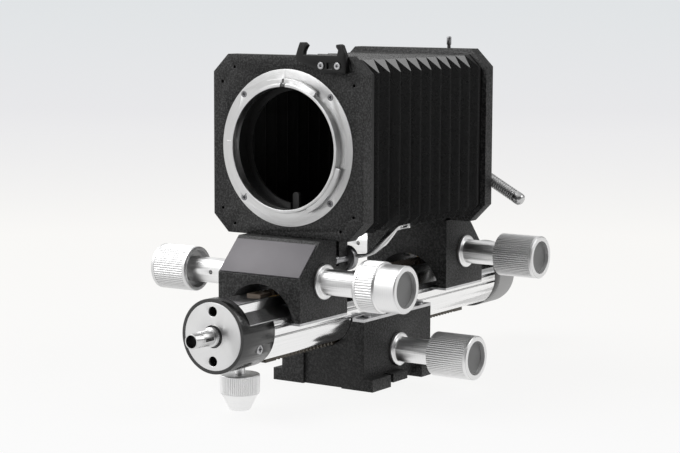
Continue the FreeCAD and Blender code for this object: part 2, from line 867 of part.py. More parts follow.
def make_front_cap(bar):
    """Cap, face disc, stud and lock knob at the rail's front end."""
    axis = s.rail_height
    cap = new_body("front_cap")
    pad(cap, "XZ", [(0, axis, s.rail_radius)], s.cap_face, s.rail_front - s.cap_face)
    wide = s.rail_radius + 1
    pocket(cap, "XZ", [rectangle(-wide, rail(s.saddle_rise), wide, rail(wide))],
           s.cap_ring_rear, s.rail_front - s.cap_ring_rear)
    half = s.tongue_half + s.run_gap
    pocket(cap, "XZ", [rectangle(-half, rail(-s.tongue_drop) - s.run_gap, half, rail(wide))],
           s.cap_ring_rear, s.rail_front - s.cap_ring_rear)
    disc_radius = s.rail_radius - s.rim_width
    pocket(cap, "XZ", [(0, axis, disc_radius)], s.cap_face, s.face_disc_width)
    web = s.cap_ring_rear - s.cap_face
    pocket(cap, "XZ", [(0, axis, s.stud_radius)], s.cap_face, web)
    for way in (1, -1):
        pocket(cap, "XZ", [(0, rail(way * s.face_hole_offset), s.face_hole_radius)],
               s.cap_face, web - s.face_disc_width)
    thread = s.stop_screw_radius + s.run_gap
    pocket(cap, "XY", [(0, s.stop_knob_y, thread)], 0, s.rail_height)
    drop = rail(-s.cap_screw_drop)
    flank = s.rail_radius - s.cap_screw_sink
    foot = flank - s.rail_screw_length
    for thing in (bar, cap):
        pocket(thing, "YZ", [(s.cap_screw_y, drop, s.screw_radius)], foot,
               s.rail_screw_length)
    pocket(cap, "YZ", [(s.cap_screw_y, drop, s.screw_head_radius)], flank, s.rail_radius)

    disc = new_body("front_disc")
    holes = [(0, rail(way * s.face_hole_offset), s.face_hole_radius) for way in (1, -1)]
    pad(disc, "XZ", [(0, axis, disc_radius), (0, axis, s.stud_recess)] + holes,
        s.cap_face, s.face_disc_width)

    stud = new_body("front_stud", (0, s.cap_face, axis), "-Y")
    collar, shank = s.stud_collar, s.stud_collar + s.stud_body
    end = shank + s.stud_tip
    edge = s.knob_edge
    revolve(stud, [
        (0, -web), (s.stud_radius, -web), (s.stud_radius, -s.face_disc_width),
        (s.stud_collar_radius, -s.face_disc_width), (s.stud_collar_radius, collar - edge),
        (s.stud_collar_radius - edge, collar), (s.stud_radius, collar),
        (s.stud_radius, shank), (s.stud_tip_radius, shank),
        (s.stud_tip_radius, end), (0, end),
    ])
    pocket(stud, "XY", [(0, 0, s.stud_bore)], shank, s.stud_tip)
    half_slot = s.stud_slot_width / 2
    slot = rectangle(collar + half_slot, -half_slot, shank - half_slot, half_slot)
    pocket(stud, "YZ", [[(v, u) for u, v in slot]], 0, s.stud_collar_radius)

    knob = new_body("stop_knob", (0, s.stop_knob_y, 0), "Z")
    grip_base = s.stop_knob_top - s.stop_knob_grip
    tip = rail(-s.tongue_drop) - s.free_gap
    revolve(knob, [
        (0, s.stop_knob_base), (s.stop_knob_tip - edge, s.stop_knob_base),
        (s.stop_knob_tip, s.stop_knob_base + edge),
        (s.stop_knob_waist, grip_base - s.stop_knob_slope), (s.stop_knob_radius, grip_base),
        (s.stop_knob_radius, s.stop_knob_top - edge),
        (s.stop_knob_radius - edge, s.stop_knob_top),
        (s.stop_screw_radius, s.stop_knob_top), (s.stop_screw_radius, tip), (0, tip),
    ])
    pocket(knob, "XY", [(0, 0, s.stop_knob_dimple)], 0, grip_base / 2)
    ribs(knob, s.stop_knob_radius, grip_base - s.stop_knob_slope, s.stop_knob_top - edge)


def make_rear_cap():
    """Dark buffer ring and the turned cap at the rail's rear end."""
    axis = s.rail_height
    ring = new_body("rear_buffer", (0, s.rail_rear, axis), "Y")
    edge = s.knob_edge
    outer = s.rail_radius
    revolve(ring, [
        (s.spigot_radius, 0), (outer - edge, 0), (outer, edge),
        (outer, s.buffer_width - edge), (outer - edge, s.buffer_width),
        (s.spigot_radius, s.buffer_width),
    ])
    cap = new_body("rear_cap", (0, s.rail_rear + s.buffer_width, axis), "Y")
    width = s.rear_cap_width
    bore = s.spigot_length - s.buffer_width
    revolve(cap, [
        (s.spigot_radius, 0), (outer - edge, 0), (outer, edge),
    ] + rounded_end(outer, s.rear_cap_round, width) + [
        (0, width), (0, bore), (s.spigot_radius, bore),
    ])


# ------------------------------------------------------------------ tripod block


def make_tripod_block():
    """Base casting with its gib plates, screws and tripod socket."""
    half, long = s.base_half_width, s.base_half_length
    block = new_body("tripod_block")
    pad(block, "XY", [rectangle(-half, -long, half, long)], 0, s.base_top)
    foot = s.foot_half_width
    for front, rear in ((-long, s.foot_length - long), (long - s.foot_length, long),
                        (s.step_front, s.step_rear)):
        pad(block, "XY", [rectangle(-foot, front, foot, rear)], 0, s.foot_height)
    relief = long - s.foot_length
    pocket(block, "XY", [rectangle(-foot, -relief, foot, relief)], 0, s.base_relief)
    recess = s.base_recess_half
    pocket(block, "XY", [rectangle(-recess, -long, recess, s.base_recess_depth - long)],
           0, s.base_recess_top)
    trough = s.rail_radius + s.trough_gap
    pocket(block, "XZ", [(0, s.rail_height, trough)], -long, 2 * long)
    channel = BOTTOM_PITCH - ADDENDUM - s.free_gap
    side = s.bottom_rack_half + s.free_gap
    pocket(block, "XZ", [rectangle(-side, channel, side, s.rail_height)], -long, 2 * long)
    axle = s.base_pinion_height
    reach = s.pocket_reach
    pocket(block, "YZ", [rectangle(-reach, axle - reach, reach, s.rail_height)],
           -s.pocket_half, 2 * s.pocket_half)
    pocket(block, "YZ", [(0, axle, s.journal_radius)], -half, 2 * half)
    pocket(block, "XY", [(0, 0, s.socket_radius)], 0, s.socket_length)
    for way in (1, -1):
        for y in (s.base_gib_screw_y, -s.base_gib_screw_y):
            depth = s.base_gib_screw_length - s.base_gib_width
            pocket(block, "XY", [(way * s.base_gib_screw_x, y, s.screw_radius)],
                   s.base_top - depth, depth)

    socket = new_body("tripod_socket")
    pad(socket, "XY", [(0, 0, s.socket_radius), (0, 0, s.socket_bore)], 0, s.socket_length)

    gibs = doc.addObject("Part::Compound", "tripod_gibs")
    gibs.Label = "tripod_gibs"
    links = []
    top = s.base_top
    lip = rail(s.groove_low) + s.slide_gap
    lip_top = rail(s.groove_high) - s.slide_gap
    inner = s.rail_radius + s.free_gap
    nose = s.groove_floor + s.slide_gap
    for way, name in ((1, "right"), (-1, "left")):
        gib = new_body("tripod_gib_" + name)
        parts.remove(gib)
        pad(gib, "XZ", [[
            (way * inner, top), (way * half, top), (way * half, top + s.base_gib_width),
            (way * (nose + s.base_gib_lip), top + s.base_gib_width),
            (way * (nose + s.base_gib_lip), lip_top), (way * nose, lip_top),
            (way * nose, lip), (way * inner, lip),
        ]], -long, 2 * long)
        for y in (s.base_gib_screw_y, -s.base_gib_screw_y):
            pocket(gib, "XY", [(way * s.base_gib_screw_x, y, s.screw_radius)],
                   top, s.base_gib_width)
        links.append(gib)
    gibs.Links = links
    parts.append(gibs)

    spots = [
        ((x, y, top + s.base_gib_width), "Z")
        for x in (s.base_gib_screw_x, -s.base_gib_screw_x)
        for y in (s.base_gib_screw_y, -s.base_gib_screw_y)
    ]
    screws("tripod_gib_screws", spots, (s.screw_head_radius, s.screw_head_height),
           (s.screw_radius, s.base_gib_screw_length))


# --------------------------------------------------------------------- standards


def carriage(prefix, half, front, back, outline, pinion_y):
    """Block of a standard: arch over the rail, cross bore, pinion pocket and gibs."""
    block = new_body(prefix + "_block")
    pad(block, "YZ", [outline], -half, 2 * half)
    depth = back - front
    pocket(block, "XZ", [(0, s.rail_height, s.arch_radius)], front, depth)
    axle = s.carriage_pinion_height
    reach = s.pocket_reach
    pocket(block, "YZ", [(pinion_y, axle, s.journal_radius)], -half, 2 * half)
    pocket(block, "YZ", [rectangle(pinion_y - reach, s.rail_height, pinion_y + reach,
                                   axle + reach)], -s.pocket_half, 2 * s.pocket_half)
    bottom = s.carriage_bottom
    plate = s.carriage_gib_width
    screw_x = s.carriage_gib_screw_x
    radius = s.carriage_gib_screw_radius
    head = s.carriage_gib_head_radius
    long = s.carriage_gib_screw_length
    spots_y = (front + s.carriage_gib_inset, back - s.carriage_gib_inset)
    nose = s.slot_floor + s.slide_gap
    gibs = doc.addObject("Part::Compound", prefix + "_gibs")
    gibs.Label = prefix + "_gibs"
    links = []
    for way, name in ((1, "right"), (-1, "left")):
        gib = new_body("%s_gib_%s" % (prefix, name))
        parts.remove(gib)
        near, far = (nose, half) if way > 0 else (-half, -nose)
        pad(gib, "XY", [rectangle(near, front, far, back)], bottom - plate, plate)
        for y in spots_y:
            pocket(block, "XY", [(way * screw_x, y, radius)], bottom, long - plate)
            pocket(gib, "XY", [(way * screw_x, y, head)], bottom - plate, plate / 2)
            pocket(gib, "XY", [(way * screw_x, y, radius)], bottom - plate, plate)
        links.append(gib)
    gibs.Links = links
    parts.append(gibs)
    spots = [((x, y, bottom - plate), "-Z") for x in (screw_x, -screw_x) for y in spots_y]
    screws(prefix + "_gib_screws", spots, (head, plate / 2), (radius, long), flush=True)
    return block


def make_front_standard():
    """Front block, nameplate, lens plate and accessory shoe."""
    lens_front = s.lens_plate_front
    lens_back = lens_front + s.lens_plate_width
    middle = optical(s.plate_offset)
    plate_foot = middle - s.lens_plate_half
    front, back = s.front_block_face, s.front_block_back
    slope = (s.front_brow_y - front) / (s.front_brow_z - s.front_chin_z)
    top_y = s.front_brow_y + slope * (plate_foot - s.front_brow_z)
    block = carriage("front", s.front_half_width, front, back, [
        (back, s.carriage_bottom), (back, plate_foot), (top_y, plate_foot),
        (front, s.front_chin_z), (front, s.carriage_bottom),
    ], s.front_pinion_y)

    # crank shaft's bearing, and the slot that its arm swings in
    pocket(block, "XZ", [(s.crank_pivot_x, s.crank_pivot_z, s.crank_shaft_radius + s.run_gap)],
           lens_back, back - lens_back)
    room = s.iris_ring_width + 2 * s.iris_ring_gap
    left = s.crank_pivot_x - s.crank_room_left
    foot = s.crank_pivot_z - s.crank_tip_radius - s.free_gap
    pocket(block, "XZ", [rectangle(left, foot, s.front_half_width, plate_foot)], lens_back, room)

    nameplate = new_body("nameplate")
    margin = s.nameplate_margin
    thick = s.nameplate_width
    slant = math.atan2(s.front_brow_z.number - s.front_chin_z.number,
                       s.front_brow_y.number - front.number)
    run, rise = math.cos(slant), math.sin(slant)
    low = (front + margin * run, s.front_chin_z + margin * rise)
    high = (s.front_brow_y, s.front_brow_z)
    wide = s.front_half_width - margin
    pad(nameplate, "YZ", [[
        low, high, (high[0] - thick * rise, high[1] + thick * run),
        (low[0] - thick * rise, low[1] + thick * run),
    ]], -wide, 2 * wide)

    plate = new_body("lens_plate")
    outline = octagon(s.lens_plate_half, s.lens_plate_corner, middle)
    pad(plate, "XZ", [outline, (0, s.optical_height, s.light_tube_radius)],
        lens_front, s.lens_plate_width)
    pocket(plate, "XZ", [(0, s.optical_height, s.flange_radius)],
           lens_front, s.flange_width - s.flange_proud)
    near, far = s.lens_plate_half - s.pin_hole_near, s.lens_plate_half - s.pin_hole_far
    holes = []
    for x_way in (1, -1):
        for z_way in (1, -1):
            holes.append((x_way * near, optical(z_way * far), s.pin_hole_radius))
            if x_way < 0 or z_way < 0:
                holes.append((x_way * far, optical(z_way * near), s.pin_hole_radius))
    pocket(plate, "XZ", holes, lens_front, s.pin_hole_depth)
    seat = lens_front + s.flange_width - s.flange_proud
    threads = [(x, optical(z), s.mount_screw_radius) for x, z in mount_screw_places()]
    pocket(plate, "XZ", threads, seat, s.mount_screw_length - s.flange_width)
    make_shoe(plate, lens_front)
    make_lens_mount(lens_front)
    make_stop_down(lens_back, back)


def mount_screw_places():
    """Places of the flange screws round the optical axis."""
    circle = s.mount_screw_circle * math.sqrt(0.5)
    return [(x * circle, z * circle) for x in (1, -1) for z in (1, -1)]


def make_lens_mount(lens_front):
    """Breech-lock lens mount: flange, lugs, screws, keyway and light tube."""
    centre = (0, lens_front, s.optical_height)
    mount = new_body("lens_mount", centre, "-Y")
    proud = s.flange_proud
    floor = proud - s.flange_width
    lip = s.neck_reach
    revolve(mount, [
        (s.throat_radius, floor), (s.flange_radius, floor), (s.flange_radius, proud),
        (s.neck_radius, proud), (s.neck_radius, lip), (s.throat_radius, lip),
    ])
    lug_front = lip - s.lug_setback
    lug_sketch = new_sketch(mount, "XZ", 0)
    draw(lug_sketch, [rectangle(s.neck_radius - s.run_gap, lug_front - s.lug_width,
                                s.lug_radius, lug_front)])
    # the lug starts at its own bearing, because the sketch is turned about the axis
    lug_start = Rotation(Vector(0, 1, 0), s.lug_start.number)
    lug_sketch.AttachmentOffset = FreeCAD.Placement(Vector(), lug_start)
    lug = mount.newObject("PartDesign::Revolution", "lens_mount_lug")
    lug.Profile = lug_sketch
    lug.ReferenceAxis = (lug_sketch, ["V_Axis"])
    bind(lug, "Angle", s.lug_sweep)
    polar(mount, [lug], LUG_COUNT)
    key = s.keyway_half
    slit = s.keyway_slit_half
    tall = lip - proud
    pocket(mount, "XY", [rectangle(-key, s.throat_radius - 1, key, s.keyway_rise)], proud, tall)
    pocket(mount, "XY", [rectangle(-slit, s.throat_radius - 1, slit, s.lug_radius)],
           proud, tall)
    places = mount_screw_places()
    pocket(mount, "XY", [(x, z, s.mount_screw_radius) for x, z in places], floor,
           s.flange_width)
    pocket(mount, "XY", [(x, z, s.mount_screw_head) for x, z in places],
           proud - s.mount_screw_head_height, s.mount_screw_head_height)
    spots = [((x, lens_front - proud, optical(z)), "-Y") for x, z in places]
    screws("lens_mount_screws", spots, (s.mount_screw_head, s.mount_screw_head_height),
           (s.mount_screw_radius, s.mount_screw_length), "cross", flush=True)

    tube = new_body("light_tube", centre, "-Y")
    room = s.iris_ring_width + 2 * s.iris_ring_gap
    back = -(s.lens_plate_width + room)
    inside = back + s.light_tube_lip_width
    revolve(tube, [
        (s.light_tube_bore, floor), (s.light_tube_radius, floor),
        (s.light_tube_radius, back), (s.light_tube_lip, back),
        (s.light_tube_lip, inside), (s.light_tube_bore, inside),
    ])
    wide = s.light_tube_radius + 1
    slot = rectangle(s.iris_slot_left, -wide, s.iris_slot_right, -s.iris_tab_tip)
    pocket(tube, "XY", [slot], back, room)


def make_stop_down(lens_back, block_back):
    """Ring with the aperture tab, the crank that turns it and the finger lever."""
    ring_y = lens_back + s.iris_ring_gap
    width = s.iris_ring_width
    ring = new_body("iris_ring")
    centre = s.optical_height
    pad(ring, "XZ", [(0, centre, s.iris_ring_outer), (0, centre, s.iris_ring_inner)],
        ring_y, width)
    tab = s.iris_tab_half
    soft = s.iris_tab_chamfer
    foot, tip = optical(-s.iris_ring_inner - 1), optical(-s.iris_tab_tip)
    pad(ring, "XZ", [[
        (-tab, foot), (tab, foot), (tab, tip - soft), (tab - soft, tip),
        (soft - tab, tip), (-tab, tip - soft),
    ]], ring_y, width)
    # forked tail that points at the crank's pivot
    drop = centre - s.crank_pivot_z
    span = math.hypot(s.crank_pivot_x.number, drop.number)
    along = (s.crank_pivot_x.number / span, -drop.number / span)
    across = (-along[1], along[0])

    def spot(radius, side):
        u = radius * along[0] + side * across[0]
        v = radius * along[1] + side * across[1]
        return (u, centre + v)

    inner = s.iris_ring_inner + 1
    pad(ring, "XZ", [[
        spot(inner, -s.fork_half), spot(s.fork_reach, -s.fork_half),
        spot(s.fork_reach, -s.fork_slot_half), spot(s.fork_floor, -s.fork_slot_half),
        spot(s.fork_floor, s.fork_slot_half), spot(s.fork_reach, s.fork_slot_half),
        spot(s.fork_reach, s.fork_half), spot(inner, s.fork_half),
    ]], ring_y, width)

    crank = new_body("stop_down_crank")
    px, pz = s.crank_pivot_x, s.crank_pivot_z
    shaft_end = block_back + s.slide_gap
    pad(crank, "XZ", [(px, pz, s.crank_shaft_radius)], ring_y, shaft_end - ring_y)
    pad(crank, "XZ", [(px, pz, s.crank_hub_radius)], shaft_end, s.crank_hub_width)
    throw = s.crank_throw
    tip = (px - throw * along[0], pz - throw * along[1])
    pad(crank, "XZ", [(tip[0], tip[1], s.crank_tip_radius)], ring_y, width)
    arm = s.crank_arm_half
    start = (px, pz)
    pad(crank, "XZ", [[
        (start[0] - arm * across[0], start[1] - arm * across[1]),
        (start[0] + arm * across[0], start[1] + arm * across[1]),
        (tip[0] + arm * across[0], tip[1] + arm * across[1]),
        (tip[0] - arm * across[0], tip[1] - arm * across[1]),
    ]], ring_y, width)

    lever = new_body("stop_down_lever")
    face = shaft_end + s.crank_hub_width
    reach = s.lever_reach
    pad(lever, "XZ", [(px, pz, s.lever_eye)], face, s.lever_width)
    pad(lever, "XZ", [[(px + reach * u, pz + reach * v) for u, v in LEVER_OUTLINE]], face,
        s.lever_width)
    pocket(lever, "XZ", [[(px + reach * u, pz + reach * v) for u, v in LEVER_SLOT]], face,
           s.lever_width)


def make_shoe(plate, lens_front):
    """Accessory shoe on the lens plate's upper right corner, with its two screws."""
    shoe = new_body("accessory_shoe")
    front = lens_front - s.shoe_width
    top = optical(s.plate_offset + s.lens_plate_half + s.shoe_rise)
    left, right, tall = s.shoe_left, s.shoe_right, s.hook_height
    foot = optical(s.shoe_foot)
    outline = [(left, optical(s.shoe_flank)), (s.shoe_foot_x, foot), (right, foot)]
    outline += [(right + tall * u, top + tall * v) for u, v in RIGHT_HOOK]
    outline += [(left + tall * u, top + tall * v) for u, v in LEFT_HOOK]
    pad(shoe, "XZ", [outline], front, s.shoe_width)
    height = optical(s.shoe_screw_rise)
    spots = []
    for x in (s.shoe_screw_x, s.shoe_screw_x + s.shoe_screw_step):
        for thing, start, depth in (
            (shoe, front, s.shoe_width),
            (plate, lens_front, s.shoe_screw_length - s.shoe_width),
        ):
            pocket(thing, "XZ", [(x, height, s.screw_radius)], start, depth)
        spots.append(((x, front, height), "-Y"))
    screws("shoe_screws", spots, (s.shoe_screw_head, s.shoe_screw_head_height),
           (s.screw_radius, s.shoe_screw_length), "socket")
    middle = s.shoe_screw_x + s.shoe_screw_step / 2
    half = s.shoe_window_half
    window = rectangle(middle - half, height - half, middle + half, height + half)
    pocket(shoe, "XZ", [window], front, s.shoe_window_depth)


def bellows_stations():
    """End planes of the bellows and the length of one half fold."""
    start = (s.lens_plate_front + s.lens_plate_width + s.iris_ring_width
             + 2 * s.iris_ring_gap + s.frame_width)
    end = s.camera_plate_front - s.frame_width
    return start, end, (end - start) / s.half_folds


def make_frames():
    """Thin frames that hold the bellows' ends on the two plates."""
    start, end, half_fold = bellows_stations()
    middle = optical(s.plate_offset)
    lens_back = s.lens_plate_front + s.lens_plate_width
    front = new_body("front_frame")
    outer = octagon(s.bellows_half, s.fold_depth, middle)
    pad(front, "XZ", [outer], lens_back, start - lens_back)
    wall = s.frame_rim
    corner = s.fold_depth - wall * (2 - math.sqrt(2))
    inner = octagon(s.bellows_half - wall, corner, middle)
    room = s.iris_ring_width + 2 * s.iris_ring_gap
    pocket(front, "XZ", [inner], lens_back, room)
    window = octagon(s.frame_window, s.frame_window_corner, middle)
    pocket(front, "XZ", [window], lens_back, start - lens_back)
    foot = middle - s.bellows_half
    right = s.crank_pivot_x + s.crank_tip_radius
    left = s.crank_pivot_x - s.crank_room_left
    pocket(front, "XZ", [rectangle(left, foot - 1, right, foot + wall + 1)], lens_back, room)
    rear = new_body("rear_frame")
    pad(rear, "XZ", [outer, window], end, s.frame_width)


def fold_wire(wide, inset, y):
    """Closed wire of one fold line: a rectangle that is tall, or wide at every second."""
    far = s.bellows_half - inset
    near = far - s.fold_depth
    across, up = (far, near) if wide else (near, far)
    middle = optical(s.plate_offset)
    corners = [Vector(u.number, y.number, v.number)
               for u, v in rectangle(-across, middle - up, across, middle + up)]
    return Part.makePolygon(corners + corners[:1])


def make_bellows():
    """The folded skin in a front and a rear half, hollow and open at both ends."""
    start, end, half_fold = bellows_stations()
    folds = int(s.half_folds.number)
    for label, steps in (("bellows_front", range(folds // 2 + 1)),
                         ("bellows_rear", range(folds // 2, folds + 1))):
        outer, inner = [
            Part.makeLoft([fold_wire(step % 2, inset, start + step * half_fold)
                           for step in steps], True, True)
            for inset in (as_size(0), s.bellows_skin)
        ]
        feature = doc.addObject("Part::Feature", label)
        feature.Label = label
        feature.Shape = outer.cut(inner).Solids[0]
        parts.append(feature)


def make_rear_standard():
    """Rear block, camera plate, breech mount, handle and release button."""
    middle = optical(s.plate_offset)
    plate_front = s.camera_plate_front
    plate_back = plate_front + s.camera_plate_width
    plate_foot = middle - s.camera_plate_half
    front, back = s.rear_block_front, s.rear_block_face
    slope = (s.rear_brow_y - back) / (s.rear_brow_z - s.rear_chin_z)
    top_y = s.rear_brow_y + slope * (plate_foot - s.rear_brow_z)
    carriage("rear", s.rear_half_width, front, back, [
        (front, s.carriage_bottom), (back, s.carriage_bottom), (back, s.rear_chin_z),
        (top_y, plate_foot), (front, plate_foot),
    ], s.rear_pinion_y)

    plate = new_body("camera_plate")
    outline = octagon(s.camera_plate_half, s.camera_plate_corner, middle)
    pad(plate, "XZ", [outline, (0, s.optical_height, s.seat_radius)], plate_front,
        s.camera_plate_width)
    stem = s.button_stem_radius + s.run_gap
    top = middle + s.camera_plate_half
    depth = s.button_stem_length + s.button_rise + s.free_gap
    pocket(plate, "XY", [(s.button_x, s.button_y, stem)], top - depth, depth)

    seat = new_body("camera_seat", (0, plate_back, s.optical_height), "Y")
    reach = s.seat_reach
    lip = reach - s.seat_lip_width
    revolve(seat, [
        (s.seat_bore, -s.camera_plate_width), (s.seat_radius, -s.camera_plate_width),
        (s.seat_radius, lip), (s.seat_lip, lip), (s.seat_lip, reach), (s.seat_bore, reach),
    ])
    bearing = Rotation(Vector(0, 1, 0), -s.handle_angle.number)
    breech = new_body("breech_ring", (0, plate_back, s.optical_height),
                      bearing.multiply(AXES["Y"]))
    inner = s.seat_radius + s.slide_gap
    start = s.slide_gap
    end = start + s.breech_width
    edge = s.knob_edge
    outer = s.breech_radius
    revolve(breech, [
        (inner, start), (outer - edge, start), (outer, start + edge),
        (outer, end - edge), (outer - edge, end), (inner, end),
    ])
    half = s.rib_width
    cut = pocket(breech, "XY", [rectangle(outer - half, -half, outer + 1, half)],
                 start, s.breech_width)
    polar(breech, [cut], s.rib_count)
    middle = start + s.breech_width / 2
    root = outer - s.handle_spigot_length
    pocket(breech, "YZ", [(0, middle, s.handle_spigot)], root, s.handle_spigot_length)

    turn = Rotation(Vector(0, 1, 0), 90 - s.handle_angle.number)
    handle = new_body("breech_handle", (0, plate_back + middle, s.optical_height), turn)
    neck = s.handle_neck_reach
    reach = s.handle_reach
    revolve(handle, [
        (0, root), (s.handle_spigot, root), (s.handle_spigot, outer),
        (s.handle_neck, outer), (s.handle_neck, neck), (s.handle_radius - edge, neck),
        (s.handle_radius, neck + edge),
    ] + rounded_end(s.handle_radius, s.handle_dome, reach) + [(0, reach)])
    waist = s.handle_radius - s.handle_groove_depth
    first = groove(handle, rectangle(waist, s.handle_groove_start, s.handle_radius + 1,
                                     s.handle_groove_start + s.handle_groove_width))
    linear(handle, [first], HANDLE_GROOVES,
           (HANDLE_GROOVES - 1) * s.handle_groove_pitch, "Z_Axis")


def make_button():
    """Small sprung release button on top of the camera plate."""
    top = optical(s.plate_offset) + s.camera_plate_half
    button = new_body("release_button", (s.button_x, s.button_y, top), "Z")
    rise = s.button_rise
    edge = s.knob_edge
    crest = rise + s.button_head_height
    revolve(button, [
        (0, -s.button_stem_length), (s.button_stem_radius, -s.button_stem_length),
        (s.button_stem_radius, rise), (s.button_head_radius, rise),
        (s.button_head_radius, crest - edge), (s.button_head_radius - edge, crest),
        (0, crest),
    ])


def main():
    """Build every sub-part, check it and write its file."""
    make_front_cap(make_rail())
    make_rear_cap()
    make_tripod_block()
    make_front_standard()
    make_rear_standard()
    make_button()
    make_frames()
    make_bellows()
    drive_train("tripod", s.base_half_width, 0, s.base_pinion_height, False)
    drive_train("front", s.front_half_width, s.front_pinion_y, s.carriage_pinion_height,
                True, wide_ring=True)
    drive_train("rear", s.rear_half_width, s.rear_pinion_y, s.carriage_pinion_height, True)
    doc.recompute()
    for thing in doc.Objects:
        if "Invalid" in thing.State or "Error" in thing.State:
            raise RuntimeError("%s failed: %s" % (thing.Name, thing.State))
    for part in parts:
        if part.Shape.isNull() or not part.Shape.isValid():
            raise RuntimeError("%s has no valid shape" % part.Label)
    os.makedirs("parts", exist_ok=True)
    for part in parts:
        part.Shape.exportStep("parts/%s.step" % part.Label)
        print(part.Label, round(part.Shape.Volume, 3), len(part.Shape.Solids))


main()
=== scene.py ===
"""Macro bellows unit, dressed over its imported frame. Metres, +Z up, lens towards -Y."""

import json
import math

import bmesh
import bpy
from mathutils import Matrix, Vector

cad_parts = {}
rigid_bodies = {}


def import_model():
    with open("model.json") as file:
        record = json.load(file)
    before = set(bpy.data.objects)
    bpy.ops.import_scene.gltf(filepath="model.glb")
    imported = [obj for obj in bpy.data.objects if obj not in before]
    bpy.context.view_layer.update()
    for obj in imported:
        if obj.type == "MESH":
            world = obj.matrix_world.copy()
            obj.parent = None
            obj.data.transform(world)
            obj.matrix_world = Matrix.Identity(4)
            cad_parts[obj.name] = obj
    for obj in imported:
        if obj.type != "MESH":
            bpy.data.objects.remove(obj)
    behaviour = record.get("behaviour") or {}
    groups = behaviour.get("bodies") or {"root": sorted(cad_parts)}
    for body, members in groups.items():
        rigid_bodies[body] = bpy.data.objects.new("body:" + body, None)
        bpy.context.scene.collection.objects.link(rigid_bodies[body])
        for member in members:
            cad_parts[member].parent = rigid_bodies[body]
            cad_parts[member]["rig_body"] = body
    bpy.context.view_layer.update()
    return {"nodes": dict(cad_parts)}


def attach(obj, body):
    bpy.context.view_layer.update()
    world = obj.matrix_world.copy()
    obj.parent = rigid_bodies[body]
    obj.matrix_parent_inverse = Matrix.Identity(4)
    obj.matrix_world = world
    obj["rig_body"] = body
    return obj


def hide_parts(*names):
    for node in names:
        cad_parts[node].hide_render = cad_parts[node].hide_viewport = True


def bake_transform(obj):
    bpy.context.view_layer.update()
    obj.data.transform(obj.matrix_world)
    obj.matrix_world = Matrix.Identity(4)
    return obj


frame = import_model()

OPTICAL_HEIGHT = 0.0986
RAIL_HEIGHT = 0.03125
# (y, z) of each pair of knobs
DRIVES = {
    "tripod": (0.0, 0.0135),
    "front": (-0.0543, 0.0481),
    "rear": (0.0547, 0.0481),
}
STOP_PLACE = (0.0, -0.0825, 0.0)
STUD_BORE = (0.00245, -0.1075)  # radius, place of the mouth
HANDLE_NECK_SHADE = 0.0363  # how far from the optical axis the handle's neck gets painted shade

# radii under the knobs' ribs, in mm like the outlines of the knobs
KNOB_CORE = 8.75
WIDE_CORE = 9.7
STOP_CORE = 7.45

BELLOWS_START = -0.0418
BELLOWS_END = 0.0407
BELLOWS_FOLDS = 21
CLOTH_THICKNESS = 0.0006

CAMERA_PLACE = (0.424945, -0.658727, 0.158359)
CAMERA_TURN = (33.364, 6.955, 0.2205)  # azimuth, elevation and roll in degrees
FOCAL_PIXELS = 1904.53
PICTURE_WIDTH = 680
SENSOR_WIDTH = 36.0

# display tones of the backdrop, from the horizon to the front of the table
HORIZON = (225, 228, 230)
HALF_WAY = (232, 232, 234)
TABLE = (251, 250, 248)
TABLE_FRONT = (252, 252, 252)
SHARP_EDGE = math.radians(32)
SHARP_FOLD = math.radians(50)


# ------------------------------------------------------------------ node trees


class Wire:
    """A socket's output; arithmetic on it adds Math nodes to its tree."""

    def __init__(self, nodes, socket):
        self.nodes = nodes
        self.socket = socket

    def __add__(self, other):
        return self.nodes.math("ADD", self, other)

    def __radd__(self, other):
        return self.nodes.math("ADD", other, self)

    def __sub__(self, other):
        return self.nodes.math("SUBTRACT", self, other)

    def __rsub__(self, other):
        return self.nodes.math("SUBTRACT", other, self)

    def __mul__(self, other):
        return self.nodes.math("MULTIPLY", self, other)

    def __rmul__(self, other):
        return self.nodes.math("MULTIPLY", other, self)

    def __truediv__(self, other):
        return self.nodes.math("DIVIDE", self, other)

    def __rtruediv__(self, other):
        return self.nodes.math("DIVIDE", other, self)

    def __lt__(self, other):
        return self.nodes.math("LESS_THAN", self, other)


class Nodes:
    """A node tree written as expressions."""

    def __init__(self, tree):
        self.tree = tree

    def add(self, kind, settings=None, sockets=None):
        """A node with its settings, then the values or wires of its sockets."""
        node = self.tree.nodes.new(kind)
        for name, value in (settings or {}).items():
            if name == "stops":
                ramp = node.color_ramp
                while len(ramp.elements) < len(value):
                    ramp.elements.new(0.5)
                for element, (place, colour) in zip(ramp.elements, value):
                    element.position = place
                    element.color = colour
            else:
                setattr(node, name, value)
        for key, value in (sockets or {}).items():
            if isinstance(value, Wire):
                self.tree.links.new(value.socket, node.inputs[key])
            else:
                node.inputs[key].default_value = value
        return node

    def wire(self, kind, settings=None, sockets=None, output=0):
        """The chosen output of a new node."""
        return Wire(self, self.add(kind, settings, sockets).outputs[output])

    def math(self, operation, *values):
        return self.wire("ShaderNodeMath", {"operation": operation}, dict(enumerate(values)))

    def vector(self, operation, *values, output=0):
        return self.wire("ShaderNodeVectorMath", {"operation": operation},
                         dict(enumerate(values)), output)


def grey(value):
    """An opaque grey."""
    return (value, value, value, 1.0)


def shade(red, green, blue):
    """An opaque colour from its display values, 0 to 255."""
    levels = [c / 255 for c in (red, green, blue)]
    return tuple(c / 12.92 if c < 0.04 else ((c + 0.055) / 1.055) ** 2.4 for c in levels) + (1.0,)


